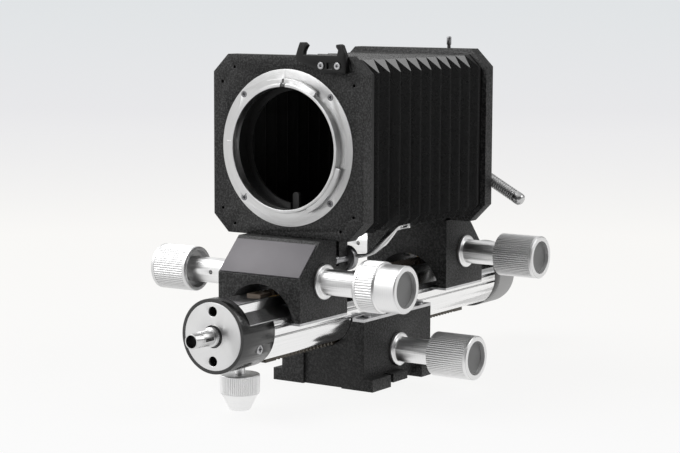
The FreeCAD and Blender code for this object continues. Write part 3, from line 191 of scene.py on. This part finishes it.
class Finish(Nodes):
    """A surface material whose patterns read object coordinates."""

    def __init__(self, name):
        self.material = bpy.data.materials.new(name)
        self.material.use_nodes = True
        super().__init__(self.material.node_tree)
        self.tree.nodes.clear()
        self.place = self.wire("ShaderNodeTexCoord", output="Object")

    def moved(self, centre, scale=(1, 1, 1)):
        """Object coordinates measured from a centre and stretched."""
        away = self.vector("SUBTRACT", self.place, centre)
        return self.vector("MULTIPLY", away, scale)

    def noise(self, scale, detail, rough=0.55, vector=None):
        return self.wire("ShaderNodeTexNoise", {}, {
            "Vector": vector or self.place, "Scale": scale, "Detail": detail,
            "Roughness": rough,
        })

    def cells(self, scale):
        return self.wire("ShaderNodeTexVoronoi", {"feature": "SMOOTH_F1"}, {
            "Vector": self.place, "Scale": scale,
        })

    def spread(self, value, low, high, start=0.0, end=1.0):
        """Map a value's range to another, held at the ends."""
        return self.wire("ShaderNodeMapRange", {}, {
            0: value, 1: low, 2: high, 3: start, 4: end,
        })

    def mix(self, factor, first, second):
        return self.wire("ShaderNodeMix", {"data_type": "RGBA"}, {
            "Factor": factor, 6: first, 7: second,
        }, 2)

    def bump(self, height, strength, distance):
        return self.wire("ShaderNodeBump", {}, {
            "Height": height, "Strength": strength, "Distance": distance,
        })

    def finish(self, **sockets):
        """Close the material with one Principled shader."""
        names = {key.replace("_", " "): value for key, value in sockets.items()}
        shader = self.wire("ShaderNodeBsdfPrincipled", {}, names, "BSDF")
        self.add("ShaderNodeOutputMaterial", {}, {"Surface": shader})
        return self.material


# ------------------------------------------------------------------- finishes


def crackle_paint():
    """Black wrinkle enamel of the castings and plates: painted highlight on the lump tops,
    painted shade in the valleys.
    """
    f = Finish("crackle_paint")
    lumps = f.noise(1250.0, 2.0, 0.6)
    fine = f.noise(3300.0, 2.0)
    height = lumps + fine * 0.3
    # paler where the crackle stands high: painted highlight on the lumps, painted shade in the
    # valleys
    speck = f.spread(height, 0.58, 0.80)
    worn = f.noise(60.0, 4.0)
    return f.finish(
        Base_Color=f.mix(speck, grey(0.004), grey(0.070)),
        Roughness=f.spread(worn, 0.3, 0.7, 0.42, 0.54),
        Specular_IOR_Level=0.35,
        Normal=f.bump(height, 0.9, 0.0003),
    )


def gloss_enamel(name, level, rough, shine=0.5):
    """Smooth black enamel with faint dust and handling marks."""
    f = Finish(name)
    cloud = f.noise(90.0, 5.0)
    speck = f.noise(3200.0, 2.0)
    return f.finish(
        Base_Color=f.mix(f.spread(speck, 0.62, 0.75), grey(level), grey(level * 2.6)),
        Roughness=f.spread(cloud, 0.35, 0.7, rough, rough + 0.12),
        Specular_IOR_Level=shine,
        Normal=f.bump(speck, 0.05, 0.0001),
    )


def turned_metal(name, axis, centre, level, rough, lines=5200.0, strength=0.12,
                 metallic=1.0, cores=(), bore=None):
    """Metal turned on a lathe: fine rings about an axis, on sides and faces alike.

    The grooves at a core radius are darker as painted shade, and so is a blind bore (radius,
    mouth).
    """
    f = Finish(name)
    spot = f.moved(centre)
    parts = f.add("ShaderNodeSeparateXYZ", {}, {0: spot})
    along = Wire(f, parts.outputs["XYZ".index(axis)])
    across = [Wire(f, parts.outputs[i]) for i in range(3) if "XYZ"[i] != axis]
    radius = f.math("SQRT", across[0] * across[0] + across[1] * across[1])
    ring = f.wire("ShaderNodeTexNoise", {"noise_dimensions": "1D"}, {
        "W": (radius + along) * lines, "Scale": 1.0, "Detail": 2.0, "Roughness": 0.6,
    })
    cloud = f.noise(130.0, 4.0)
    clean = f.mix(f.spread(ring * 0.6 + cloud * 0.4, 0.35, 0.6), grey(level * 0.90),
                  grey(level))
    # painted shade: darker in the grooves between the ribs and inside a blind bore
    painted_shade = 0.0
    groove = 0.00008
    for core in cores:
        painted_shade = f.math("MAXIMUM", painted_shade, f.math("COMPARE", radius, core, groove))
    if bore:
        painted_shade = (radius < bore[0]) * (along < bore[1])
    return f.finish(
        Base_Color=f.mix(painted_shade, clean, grey(0.22 if bore else level * 0.75)),
        Metallic=metallic,
        Roughness=f.spread(cloud, 0.3, 0.7, rough, rough + 0.09),
        Normal=f.bump(ring, strength, 0.00006),
    )


def drawn_metal(name, stretch, rough, level=0.82, strength=0.05):
    """Polished metal with faint streaks, long where stretch is small."""
    f = Finish(name)
    streak = f.noise(1.0, 3.0, 0.6, f.moved((0, 0, 0), stretch))
    cloud = f.noise(70.0, 4.0)
    return f.finish(
        Base_Color=f.mix(f.spread(streak, 0.35, 0.65), grey(level * 0.93), grey(level)),
        Metallic=1.0,
        Roughness=f.spread(cloud * 0.5 + streak * 0.5, 0.35, 0.65, rough, rough + 0.1),
        Normal=f.bump(streak, strength, 0.00005),
    )


def cast_metal(name, colour, rough=0.35, metallic=1.0):
    """Plain machined metal with a fine even grain."""
    f = Finish(name)
    fine = f.noise(1500.0, 3.0)
    cloud = f.noise(160.0, 4.0)
    dark = tuple(c * 0.8 for c in colour) + (1.0,)
    return f.finish(
        Base_Color=f.mix(f.spread(cloud, 0.3, 0.7), dark, colour + (1.0,)),
        Metallic=metallic,
        Roughness=f.spread(fine, 0.3, 0.7, rough - 0.05, rough + 0.1),
        Normal=f.bump(fine, 0.12, 0.00008),
    )


def anodised_plate():
    """Grey satin face of the nameplate."""
    f = Finish("anodised_plate")
    fine = f.noise(1.0, 3.0, 0.6, f.moved((0, 0, 0), (400.0, 4200.0, 4200.0)))
    cloud = f.noise(120.0, 4.0)
    return f.finish(
        Base_Color=f.mix(f.spread(fine * 0.4 + cloud * 0.6, 0.3, 0.7),
                         (0.176, 0.168, 0.178, 1), (0.190, 0.182, 0.194, 1)),
        Metallic=0.25,
        Roughness=f.spread(cloud, 0.3, 0.7, 0.50, 0.58),
        Specular_IOR_Level=0.35,
        Normal=f.bump(fine, 0.03, 0.00004),
    )


def bellows_cloth():
    """Coated black cloth: a fine leather grain, paler along the ridges of the folds as wear and
    as painted highlight, and a flat dark inner face as painted shade.
    """
    f = Finish("bellows_cloth")
    grain = f.cells(1500.0)
    fine = f.noise(3600.0, 3.0)
    fold = f.wire("ShaderNodeAttribute", {"attribute_name": "fold"}, output="Fac")
    worn = f.noise(240.0, 5.0)
    inner = f.wire("ShaderNodeAttribute", {"attribute_name": "inner"}, output="Fac")
    # paler along the fold ridges: partly wear, partly painted highlight
    ridge_wear_and_highlight = f.spread(fold + worn * 0.2 - inner, 0.97, 1.03)
    base = f.mix(f.spread(grain + fine * 0.4, 0.2, 0.9), grey(0.002), grey(0.005))
    return f.finish(
        # the inner face is a flat dark grey without the pale ridges: painted shade inside the
        # bellows
        Base_Color=f.mix(inner, f.mix(ridge_wear_and_highlight, base, grey(0.085)), grey(0.0025)),
        Roughness=f.spread(worn, 0.2, 0.8, 0.24, 0.30) + inner * 0.4,
        Specular_IOR_Level=0.5,
        Normal=f.bump(grain * 0.5 + fine * 0.5, 0.35, 0.00014),
    )


def gripped_steel():
    """Bright steel of the handle, with painted shade, near black, at the neck beside the mount.
    """
    f = Finish("gripped_steel")
    spot = f.moved((0, 0, OPTICAL_HEIGHT), (1, 0, 1))
    reach = f.vector("LENGTH", spot, output="Value")
    # painted shade: the neck beside the mount is near black and not metallic
    neck = reach < HANDLE_NECK_SHADE
    cloud = f.noise(160.0, 4.0)
    bright = f.mix(f.spread(cloud, 0.3, 0.7), grey(0.52), grey(0.66))
    return f.finish(
        Base_Color=f.mix(neck, bright, grey(0.02)),
        Metallic=f.spread(neck, 0.0, 1.0, 1.0, 0.0),
        Roughness=f.spread(cloud, 0.3, 0.7, 0.24, 0.34),
        Normal=f.bump(f.noise(2400.0, 2.0), 0.08, 0.00005),
    )


# ------------------------------------------------------------- camera and light


def make_camera():
    """The camera's pose and lens."""
    azimuth, elevation, roll = (math.radians(angle) for angle in CAMERA_TURN)
    look = Vector((-math.sin(azimuth) * math.cos(elevation),
                   math.cos(azimuth) * math.cos(elevation), -math.sin(elevation)))
    right = Vector((math.cos(azimuth), math.sin(azimuth), 0))
    up = right.cross(look)
    side = right * math.cos(roll) + up * math.sin(roll)
    top = up * math.cos(roll) - right * math.sin(roll)
    data = bpy.data.cameras.new("studio_camera")
    data.sensor_width = SENSOR_WIDTH
    data.lens = FOCAL_PIXELS / PICTURE_WIDTH * SENSOR_WIDTH
    data.clip_start = 0.01
    data.clip_end = 500.0
    camera = bpy.data.objects.new("studio_camera", data)
    turn = Matrix((side, top, -look)).transposed().to_4x4()
    camera.matrix_world = Matrix.Translation(CAMERA_PLACE) @ turn
    bpy.context.collection.objects.link(camera)
    bpy.context.scene.camera = camera


def make_lamp(name, place, target, size, power):
    """A soft square lamp that points at a target."""
    data = bpy.data.lights.new(name, "AREA")
    data.shape = "SQUARE"
    data.size = size
    data.energy = power
    lamp = bpy.data.objects.new(name, data)
    away = Vector(place) - Vector(target)
    lamp.rotation_euler = away.to_track_quat("Z", "Y").to_euler()
    lamp.location = place
    bpy.context.collection.objects.link(lamp)


def make_surround():
    """World: pale for the camera, and for reflections a soft sky over a dark room."""
    world = bpy.data.worlds.new("studio")
    world.use_nodes = True
    bpy.context.scene.world = world
    w = Nodes(world.node_tree)
    w.tree.nodes.clear()
    direction = w.wire("ShaderNodeTexCoord", output="Generated")

    def patch(toward, low, high, start, end):
        """A value that eases from start to end as the view turns toward a direction."""
        facing = w.vector("DOT_PRODUCT", direction, tuple(Vector(toward).normalized()),
                          output="Value")
        return w.wire("ShaderNodeMapRange", {"interpolation_type": "SMOOTHSTEP"}, {
            0: facing, 1: low, 2: high, 3: start, 4: end,
        })

    sky = patch((-0.8, -0.4, 0.45), -0.3, 0.7, 0.34, 0.95)
    room = patch(CAMERA_PLACE, 0.6, 0.9, 1.0, 0.05)
    rays = w.add("ShaderNodeLightPath")
    seen = w.wire("ShaderNodeBackground", {}, {0: shade(*HORIZON), 1: 1.0})
    shine = w.wire("ShaderNodeBackground", {}, {0: sky, 1: room})
    plain = w.wire("ShaderNodeBackground", {}, {0: grey(0.14), 1: 1.0})
    glossy = w.wire("ShaderNodeMixShader", {}, {
        0: Wire(w, rays.outputs["Is Glossy Ray"]), 1: plain, 2: shine,
    })
    final = w.wire("ShaderNodeMixShader", {}, {
        0: Wire(w, rays.outputs["Is Camera Ray"]), 1: glossy, 2: seen,
    })
    w.add("ShaderNodeOutputWorld", {}, {"Surface": final})


def make_floor():
    """Pale table that runs to the horizon.

    It glows in the backdrop's tones, and a matt share of it keeps the shadows. Light and
    reflections find it dark near the camera; the camera itself sees it whole.
    """
    # distances from the camera's foot
    table_begins = (0.44, 0.66)
    shadows_fade = (1.1, 2.2)
    half = 60.0
    f = Finish("studio_floor")
    foot = (CAMERA_PLACE[0], CAMERA_PLACE[1], 0.0)
    reach = f.vector("DISTANCE", f.place, foot, output="Value")
    # the tones follow how far below the horizon a spot is seen
    fall = CAMERA_PLACE[2] * 4 / reach
    tone = f.wire("ShaderNodeValToRGB", {"stops": [
        (0.02, shade(*HORIZON)), (0.24, shade(*HALF_WAY)), (0.50, shade(*TABLE)),
        (0.96, shade(*TABLE_FRONT)),
    ]}, {0: fall})
    rays = f.add("ShaderNodeLightPath")
    seen = Wire(f, rays.outputs["Is Camera Ray"])
    bright = f.math("MAXIMUM", seen, Wire(f, rays.outputs["Is Glossy Ray"]))
    share = f.spread(reach, *shadows_fade, 0.84, 1.0)
    edge = f.math("MAXIMUM", seen, f.spread(reach, *table_begins))
    table = f.mix(edge, grey(0.03), grey(0.52))
    matt = f.wire("ShaderNodeBsdfDiffuse", {}, {0: table})
    glow = f.wire("ShaderNodeEmission", {}, {0: tone, 1: 1.62 - share * 0.62})
    mixed = f.wire("ShaderNodeMixShader", {}, {0: bright * share * edge, 1: matt, 2: glow})
    f.add("ShaderNodeOutputMaterial", {}, {"Surface": mixed})
    mesh = bpy.data.meshes.new("floor")
    mesh.from_pydata([(-half, -half, 0), (half, -half, 0), (half, half, 0), (-half, half, 0)],
                     [], [(0, 1, 2, 3)])
    mesh.materials.append(f.material)
    floor = bpy.data.objects.new("floor", mesh)
    bpy.context.collection.objects.link(floor)


def make_studio():
    """Surround, floor and soft lamps."""
    bpy.context.scene.view_settings.view_transform = "Standard"
    make_surround()
    make_floor()
    aim = (0.0, 0.0, 0.1)
    make_lamp("key_softbox", (-0.62, -0.42, 0.93), aim, size=0.85, power=9.6)
    make_lamp("side_softbox", (0.80, 0.30, 0.75), aim, size=0.6, power=3.1)


# ---------------------------------------------------------------------- pieces


def placed(name, mesh):
    """A new object in the scene that holds a mesh."""
    piece = bpy.data.objects.new(name, mesh)
    bpy.context.collection.objects.link(piece)
    return piece


def break_edges(owner, width, segments=2):
    """A small bevel along an object's sharp edges."""
    edge = owner.modifiers.new("edges", "BEVEL")
    edge.width = width
    edge.segments = segments
    edge.limit_method = "ANGLE"
    edge.angle_limit = SHARP_EDGE
    edge.harden_normals = True


def finished(owner, name, material):
    """Swap an object for a plain-mesh copy with its modifiers applied."""
    graph = bpy.context.evaluated_depsgraph_get()
    mesh = bpy.data.meshes.new_from_object(
        owner.evaluated_get(graph), preserve_all_data_layers=True, depsgraph=graph)
    mesh.name = name
    bpy.data.objects.remove(owner)
    mesh.materials.clear()
    mesh.materials.append(material)
    return placed(name, mesh)


def settle(piece, node):
    """Let a piece stand for a CAD node, on that node's body."""
    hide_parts(node)
    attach(piece, frame["nodes"][node]["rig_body"])


def dressed(node, material, bevel, segments=2):
    """Replace a CAD node with a copy whose edges are broken and faces smoothed."""
    work = bmesh.new()
    work.from_mesh(frame["nodes"][node].data)
    bmesh.ops.remove_doubles(work, verts=work.verts, dist=2e-6)
    bmesh.ops.dissolve_limit(work, angle_limit=math.radians(0.6), verts=work.verts,
                             edges=work.edges)
    mesh = bpy.data.meshes.new(node + "_work")
    work.to_mesh(mesh)
    work.free()
    mesh.shade_smooth()
    owner = placed(node + "_work", mesh)
    break_edges(owner, bevel, segments)
    settle(finished(owner, node + "_dressed", material), node)


def painted(node, material):
    """Give a CAD node whose shape is right its finish."""
    mesh = frame["nodes"][node].data
    mesh.materials.clear()
    mesh.materials.append(material)


def geometry_tree(name, sizes, grows_on_mesh=False):
    """An empty Geometry Nodes tree, its nodes and the wires of its named inputs."""
    tree = bpy.data.node_groups.new(name, "GeometryNodeTree")
    face = tree.interface
    if grows_on_mesh:
        face.new_socket("Geometry", in_out="INPUT", socket_type="NodeSocketGeometry")
    for label, value in sizes.items():
        kind = "NodeSocketInt" if isinstance(value, int) else "NodeSocketFloat"
        socket = face.new_socket(label, in_out="INPUT", socket_type=kind)
        socket.default_value = value
    face.new_socket("Material", in_out="INPUT", socket_type="NodeSocketMaterial")
    face.new_socket("Geometry", in_out="OUTPUT", socket_type="NodeSocketGeometry")
    g = Nodes(tree)
    given = g.add("NodeGroupInput")
    return tree, g, {socket.name: Wire(g, socket) for socket in given.outputs}


def set_inputs(modifier, values):
    """Set a geometry modifier's named inputs by their identifiers."""
    for item in modifier.node_group.interface.items_tree:
        if item.item_type == "SOCKET" and item.in_out == "INPUT" and item.name in values:
            modifier[item.identifier] = values[item.name]


# ----------------------------------------------------------------------- knobs


def ribbed():
    """Geometry tree that adds a ring of straight ribs to a turned core about Z."""
    tree, g, size = geometry_tree("ribbed", {
        "Count": 60, "Core": KNOB_CORE / 1000, "Depth": 0.00027, "Width": 0.00072,
        "Start": 0.0, "Length": 0.01,
    }, grows_on_mesh=True)
    sides = 8
    rod = g.wire("GeometryNodeMeshCylinder", {}, {
        "Vertices": sides, "Radius": 1.0, "Depth": size["Length"],
    })
    # half a side's turn brings a flat, not a corner, to the top of the rib
    level = g.wire("GeometryNodeTransform", {}, {
        "Geometry": rod, "Rotation": (0.0, 0.0, math.pi / sides),
    })
    middle = g.wire("ShaderNodeCombineXYZ", {}, {
        0: size["Core"], 1: 0.0, 2: size["Start"] + size["Length"] / 2,
    })
    flat = g.wire("ShaderNodeCombineXYZ", {}, {
        0: size["Depth"], 1: size["Width"] / 2, 2: 1.0,
    })
    rib = g.wire("GeometryNodeTransform", {}, {
        "Geometry": level, "Translation": middle, "Scale": flat,
    })
    spots = g.wire("GeometryNodePoints", {}, {"Count": size["Count"]})
    angle = g.wire("GeometryNodeInputIndex") * (math.tau / size["Count"])
    ring = g.wire("GeometryNodeInstanceOnPoints", {}, {
        "Points": spots, "Instance": rib,
        "Rotation": g.wire("ShaderNodeCombineXYZ", {}, {2: angle}),
    })
    joined = g.add("GeometryNodeJoinGeometry")
    tree.links.new(g.wire("GeometryNodeRealizeInstances", {}, {0: ring}).socket,
                   joined.inputs[0])
    tree.links.new(size["Geometry"].socket, joined.inputs[0])
    final = g.wire("GeometryNodeSetMaterial", {}, {
        0: Wire(g, joined.outputs[0]), "Material": size["Material"],
    })
    g.add("NodeGroupOutput", {}, {0: final})
    return tree


def lathe(name, outline):
    """A turned object about Z from a closed outline of (radius, height) points in mm."""
    around = 128
    work = bmesh.new()
    rings = []
    for radius, height in outline:
        rings.append([
            work.verts.new((radius * math.cos(math.tau * i / around) / 1000,
                            radius * math.sin(math.tau * i / around) / 1000, height / 1000))
            for i in range(around)
        ])
    for low, high in zip(rings, rings[1:] + rings[:1]):
        for i in range(around):
            j = (i + 1) % around
            work.faces.new((low[i], low[j], high[j], high[i]))
    bmesh.ops.remove_doubles(work, verts=work.verts, dist=1e-7)
    bmesh.ops.recalc_face_normals(work, faces=work.faces)
    mesh = bpy.data.meshes.new(name)
    work.to_mesh(mesh)
    work.free()
    mesh.shade_smooth()
    return placed(name, mesh)


def ribbed_knob(node, outline, ribs, turn, material, tree):
    """Turned knob with a ring of grown ribs; ribs is (core radius, start, end) in mm."""
    core = lathe(node + "_core", outline)
    break_edges(core, 0.00012)
    grow = core.modifiers.new("ribs", "NODES")
    grow.node_group = tree
    radius, start, end = ribs
    set_inputs(grow, {
        "Core": radius / 1000, "Start": start / 1000,
        "Length": (end - start) / 1000, "Material": material,
    })
    piece = finished(core, node + "_dressed", material)
    piece.data.transform(turn)
    settle(piece, node)


def make_knobs(drives, locks, stop_material):
    """Every ribbed knob: three drives, three locks and the one under the front cap."""
    tree = ribbed()
    well = [(2.5, 54.4), (2.5, 42.0), (6.2, 42.0), (6.2, 38.5)]
    plain = [
        (8.7, 38.5), (KNOB_CORE, 38.6), (KNOB_CORE, 55.4), (9.0, 55.4), (9.0, 56.6),
        (8.6, 57.0), (6.9, 57.0), (6.9, 54.4),
    ] + well
    wide = [
        (9.55, 38.5), (9.95, 38.9), (9.95, 40.1), (WIDE_CORE, 40.1), (WIDE_CORE, 47.4),
        (9.15, 48.0), (9.15, 56.6), (8.75, 57.0), (7.05, 57.0), (7.05, 54.4),
    ] + well
    lock = [
        (0, 9.5), (2.5, 9.5), (2.5, 44.5), (7.5, 44.5), (7.5, 41.5), (8.6, 41.5), (9.0, 41.9),
        (9.0, 43.1), (KNOB_CORE, 43.1), (KNOB_CORE, 57.4), (9.0, 57.4), (9.0, 58.6),
        (8.6, 59.0), (0, 59.0),
    ]
    stop = [
        (0, 0.6), (3.7, 0.6), (4.1, 1.0), (6.2, 5.4), (STOP_CORE, 7.12), (STOP_CORE, 14.0),
        (7.7, 14.0), (7.7, 14.1), (7.4, 14.4), (2.0, 14.4), (2.0, 22.15), (0, 22.15),
    ]
    right = Matrix.Rotation(math.pi / 2, 4, "Y")
    left = Matrix.Rotation(-math.pi / 2, 4, "Y")
    for name, (y, z) in DRIVES.items():
        place = Matrix.Translation((0, y, z))
        if name == "front":
            outline, ribs = wide, (WIDE_CORE, 40.1, 47.2)
        else:
            outline, ribs = plain, (KNOB_CORE, 38.6, 55.4)
        ribbed_knob(name + "_drive_knob", outline, ribs, place @ right, drives[name], tree)
        ribbed_knob(name + "_lock_knob", lock, (KNOB_CORE, 43.1, 57.4), place @ left,
                    locks[name], tree)
    ribbed_knob("stop_knob", stop, (STOP_CORE, 7.4, 14.0), Matrix.Translation(STOP_PLACE),
                stop_material, tree)


# --------------------------------------------------------------------- bellows


def folded_skin():
    """Geometry tree of a bellows half: rectangles that are tall and wide in turn."""
    tree, g, size = geometry_tree("folded_skin", {
        "Start": 0.0, "Half Folds": 11.0, "Half Fold": 0.004, "Ridge": 0.0342,
        "Depth": 0.0055, "Height": 0.0993, "Softness": 0.24, "Seed": 3.0,
    })
    steps = 12
    per_side = 10
    ripple_depth = 0.0005
    # a flat grid: X counts the four sides, Y the half folds
    grid = g.add("GeometryNodeMeshGrid", {}, {
        "Size X": 4.0, "Size Y": size["Half Folds"], "Vertices X": 4 * per_side + 1,
        "Vertices Y": g.math("ROUND", size["Half Folds"] * steps + 1),
    })
    spot = g.add("ShaderNodeSeparateXYZ", {}, {0: g.wire("GeometryNodeInputPosition")})
    turn = Wire(g, spot.outputs[0]) + 2.0
    along = Wire(g, spot.outputs[1]) + size["Half Folds"] / 2
    # zigzag from a tall ring (0) to a wide one (1), its points a little blunt
    wave = g.math("PINGPONG", along, 1.0) - 0.5
    soft = size["Softness"]
    away = g.math("SMOOTH_MIN", g.math("ABSOLUTE", wave) * 2, 1.0 - soft * 0.3, soft)
    zig = g.math("SIGN", wave) * away * 0.5 + 0.5
    side = g.math("FLOOR", g.math("MINIMUM", turn, 3.9999))
    part = (turn - side) * 2 - 1
    upright = g.math("MODULO", side, 2.0)
    # each side leans out at its own rings; a slow ripple keeps the folds from being equal
    fold = upright * zig + (1 - upright) * (1 - zig)
    ripple = g.wire("ShaderNodeTexNoise", {"noise_dimensions": "2D"}, {
        "Vector": g.wire("ShaderNodeCombineXYZ", {}, {
            0: turn * 0.8, 1: g.math("ROUND", along) * 7.3 + size["Seed"], 2: 0.0,
        }), "Scale": 1.0, "Detail": 1.0,
    })
    valley = size["Ridge"] - size["Depth"]
    rim = 1 - part * part
    reach = valley + size["Depth"] * fold + (ripple - 0.5) * rim * ripple_depth
    near = valley + size["Depth"] * (1 - fold)
    bearing = side * (-math.pi / 2)
    cosine, sine = g.math("COSINE", bearing), g.math("SINE", bearing)
    u = part * near
    position = g.wire("ShaderNodeCombineXYZ", {}, {
        0: u * cosine - reach * sine,
        1: size["Start"] + along * size["Half Fold"],
        2: u * sine + reach * cosine + size["Height"],
    })
    moved = g.wire("GeometryNodeSetPosition", {}, {
        "Geometry": Wire(g, grid.outputs[0]), "Position": position,
    })
    marked = g.wire("GeometryNodeStoreNamedAttribute",
                    {"data_type": "FLOAT", "domain": "POINT"},
                    {"Geometry": moved, "Name": "fold", "Value": fold})
    joined = g.wire("GeometryNodeMergeByDistance", {}, {0: marked, "Distance": 1e-5})
    real = g.wire("GeometryNodeRealizeInstances", {}, {0: joined})
    final = g.wire("GeometryNodeSetMaterial", {}, {
        0: real, "Material": size["Material"],
    })
    g.add("NodeGroupOutput", {}, {0: final})
    return tree


def grown(name, tree, values):
    """An object grown by a geometry tree."""
    owner = placed(name + "_work", bpy.data.meshes.new(name + "_work"))
    modifier = owner.modifiers.new("grow", "NODES")
    modifier.node_group = tree
    set_inputs(modifier, values)
    return owner


def recalculated(piece):
    """Merge a mesh's doubles and turn its faces outwards."""
    work = bmesh.new()
    work.from_mesh(piece.data)
    bmesh.ops.remove_doubles(work, verts=work.verts, dist=1e-6)
    bmesh.ops.recalc_face_normals(work, faces=work.faces)
    work.to_mesh(piece.data)
    work.free()


def make_bellows():
    """Both halves of the folded skin, each grown, given a thin wall and left in place."""
    cloth = bellows_cloth()
    tree = folded_skin()
    half_fold = (BELLOWS_END - BELLOWS_START) / BELLOWS_FOLDS
    middle = BELLOWS_START + BELLOWS_FOLDS // 2 * half_fold
    halves = (
        ("front", BELLOWS_START, BELLOWS_FOLDS // 2, "front_standard", "rail"),
        ("rear", middle, BELLOWS_FOLDS - BELLOWS_FOLDS // 2, "rail", "rear_standard"),
    )
    for half, place, count, first, second in halves:
        name = "bellows_skin_" + half
        owner = grown(name, tree, {
            "Start": place, "Half Fold": half_fold, "Half Folds": float(count),
            "Material": cloth,
        })
        sheet = finished(owner, name, cloth)
        recalculated(sheet)
        wall = sheet.modifiers.new("wall", "SOLIDIFY")
        wall.thickness = CLOTH_THICKNESS
        wall.offset = -1.0
        piece = finished(sheet, name, cloth)
        # the wall's second half of vertices is its inner face
        total = len(piece.data.vertices)
        inner = piece.data.attributes.new("inner", "FLOAT", "POINT")
        inner.data.foreach_set("value", [float(i >= total // 2) for i in range(total)])
        piece.data.shade_smooth()
        piece.data.set_sharp_from_angle(angle=SHARP_FOLD)
        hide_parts("bellows_" + half)
        place + count * half_fold
        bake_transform(piece)


# -------------------------------------------------------------------- dressing


def dress_black_parts():
    """Crackled castings and plates, and the smooth black parts."""
    crackle = crackle_paint()
    enamel = gloss_enamel("gloss_enamel", level=0.012, rough=0.16, shine=0.75)
    satin = gloss_enamel("satin_enamel", level=0.008, rough=0.34, shine=0.35)
    matt = gloss_enamel("matt_black", level=0.006, rough=0.6)
    for node in ("tripod_block", "front_block", "rear_block"):
        dressed(node, crackle, 0.0005, segments=3)
    for node in ("lens_plate", "camera_plate"):
        dressed(node, crackle, 0.0004)
    for node in ("front_cap", "rear_buffer"):
        dressed(node, enamel, 0.0003)
    for node in ("accessory_shoe", "front_frame", "rear_frame"):
        dressed(node, satin, 0.0002)
    for node in ("light_tube", "breech_ring", "iris_ring"):
        dressed(node, matt, 0.0002)


def dress_rail():
    """Rail, its racks, and the gib plates that hold it."""
    chrome = drawn_metal("rail_chrome", (2600.0, 14.0, 2600.0), rough=0.12, level=0.93,
                         strength=0.02)
    plate_steel = cast_metal("plate_steel", (0.66, 0.66, 0.67), 0.3)
    dressed("rail_bar", chrome, 0.0002)
    painted("top_rack", cast_metal("greased_rack", (0.11, 0.085, 0.065), 0.3, metallic=0.4))
    painted("bottom_rack", cast_metal("dark_rack", (0.10, 0.085, 0.065), 0.35, metallic=0.3))
    for node in ("tripod_gibs", "front_gibs", "rear_gibs"):
        painted(node, plate_steel)


def dress_screws():
    """Every small screw; those of the lens mount are darker."""
    screw = cast_metal("screw_steel", (0.52, 0.52, 0.53), 0.3)
    dark_screw = cast_metal("dark_screw_steel", (0.26, 0.26, 0.27), 0.35)
    for node in ("tripod_gib_screws", "front_gib_screws", "rear_gib_screws", "shoe_screws",
                 "rail_screws"):
        dressed(node, screw, 0.00008)
    dressed("lens_mount_screws", dark_screw, 0.00008)


def dress_mounts():
    """Nameplate, lens mount and camera seat."""
    mount = turned_metal("turned_mount", "Y", (0, 0, OPTICAL_HEIGHT), level=0.70, rough=0.32,
                         strength=0.9)
    dressed("nameplate", anodised_plate(), 0.00015)
    dressed("lens_mount", mount, 0.00015)
    dressed("camera_seat", mount, 0.0002)


def dress_rail_ends():
    """Silver disc and stud at the rail's front, and the dull cap at its rear."""
    centre = (0, 0, RAIL_HEIGHT)
    disc = turned_metal("turned_rail_ends", "Y", centre, level=0.80, rough=0.32)
    cap = turned_metal("turned_rear_cap", "Y", centre, level=0.40, rough=0.45)
    stud = turned_metal("turned_stud", "Y", centre, level=0.72, rough=0.26, strength=0.04,
                        bore=STUD_BORE)
    dressed("front_disc", disc, 0.00015)
    dressed("rear_cap", cap, 0.00015)
    dressed("front_stud", stud, 0.0001)


def dress_levers(bright):
    """Handle and button of the rear standard, lever and crank of the front one."""
    button_steel = cast_metal("milled_steel", (0.34, 0.34, 0.35))
    crank_steel = cast_metal("crank_steel", (0.40, 0.40, 0.41), 0.3)
    dressed("breech_handle", gripped_steel(), 0.00005)
    dressed("release_button", button_steel, 0.0001)
    dressed("stop_down_lever", bright, 0.0003)
    dressed("stop_down_crank", crank_steel, 0.0003)


def dress_drives(bright):
    """Tripod socket, and every drive and lock with its tubes, disc and knobs."""
    brass = cast_metal("machined_brass", (0.62, 0.43, 0.18), 0.28)
    painted("tripod_socket", brass)
    drives, locks = {}, {}
    for name, (y, z) in DRIVES.items():
        centre = (0, y, z)
        # the lock knobs' metal is a darker copy of the drives': painted shade against the key
        # light that falls on them
        for knobs, kind, level in ((drives, "drive", 0.92), (locks, "lock", 0.78)):
            knobs[name] = turned_metal(name + "_turned_" + kind, "X", centre, level, rough=0.42,
                                       strength=0.02, cores=(KNOB_CORE / 1000, WIDE_CORE / 1000))
        tube = turned_metal(name + "_turned_tube", "X", centre, level=0.92, rough=0.30,
                            lines=3800.0, strength=0.06)
        disc = turned_metal(name + "_turned_disc", "X", centre, level=0.32, rough=0.46,
                            lines=9000.0, strength=0.1, metallic=0.1)
        dressed(name + "_drive_bush", tube, 0.00025)
        dressed(name + "_lock_bush", tube, 0.00025)
        dressed(name + "_drive_disc", disc, 0.0001)
        painted(name + "_drive_shaft", bright)
        painted(name + "_pinion", brass)
    # the stop knob's metal is paler than the drives': painted light on a knob that sits in shade
    stop_turned = turned_metal("turned_stop_knob", "Z", STOP_PLACE, level=0.97, rough=0.42,
                               strength=0.02, cores=(STOP_CORE / 1000,))
    make_knobs(drives, locks, stop_turned)


def main():
    """Camera and light first, then every piece from the castings to the bellows."""
    make_camera()
    make_studio()
    bright = drawn_metal("bright_steel", (900.0, 900.0, 900.0), rough=0.16)
    dress_black_parts()
    dress_rail()
    dress_screws()
    dress_mounts()
    dress_rail_ends()
    dress_levers(bright)
    dress_drives(bright)
    make_bellows()


main()
bpy.context.view_layer.update()
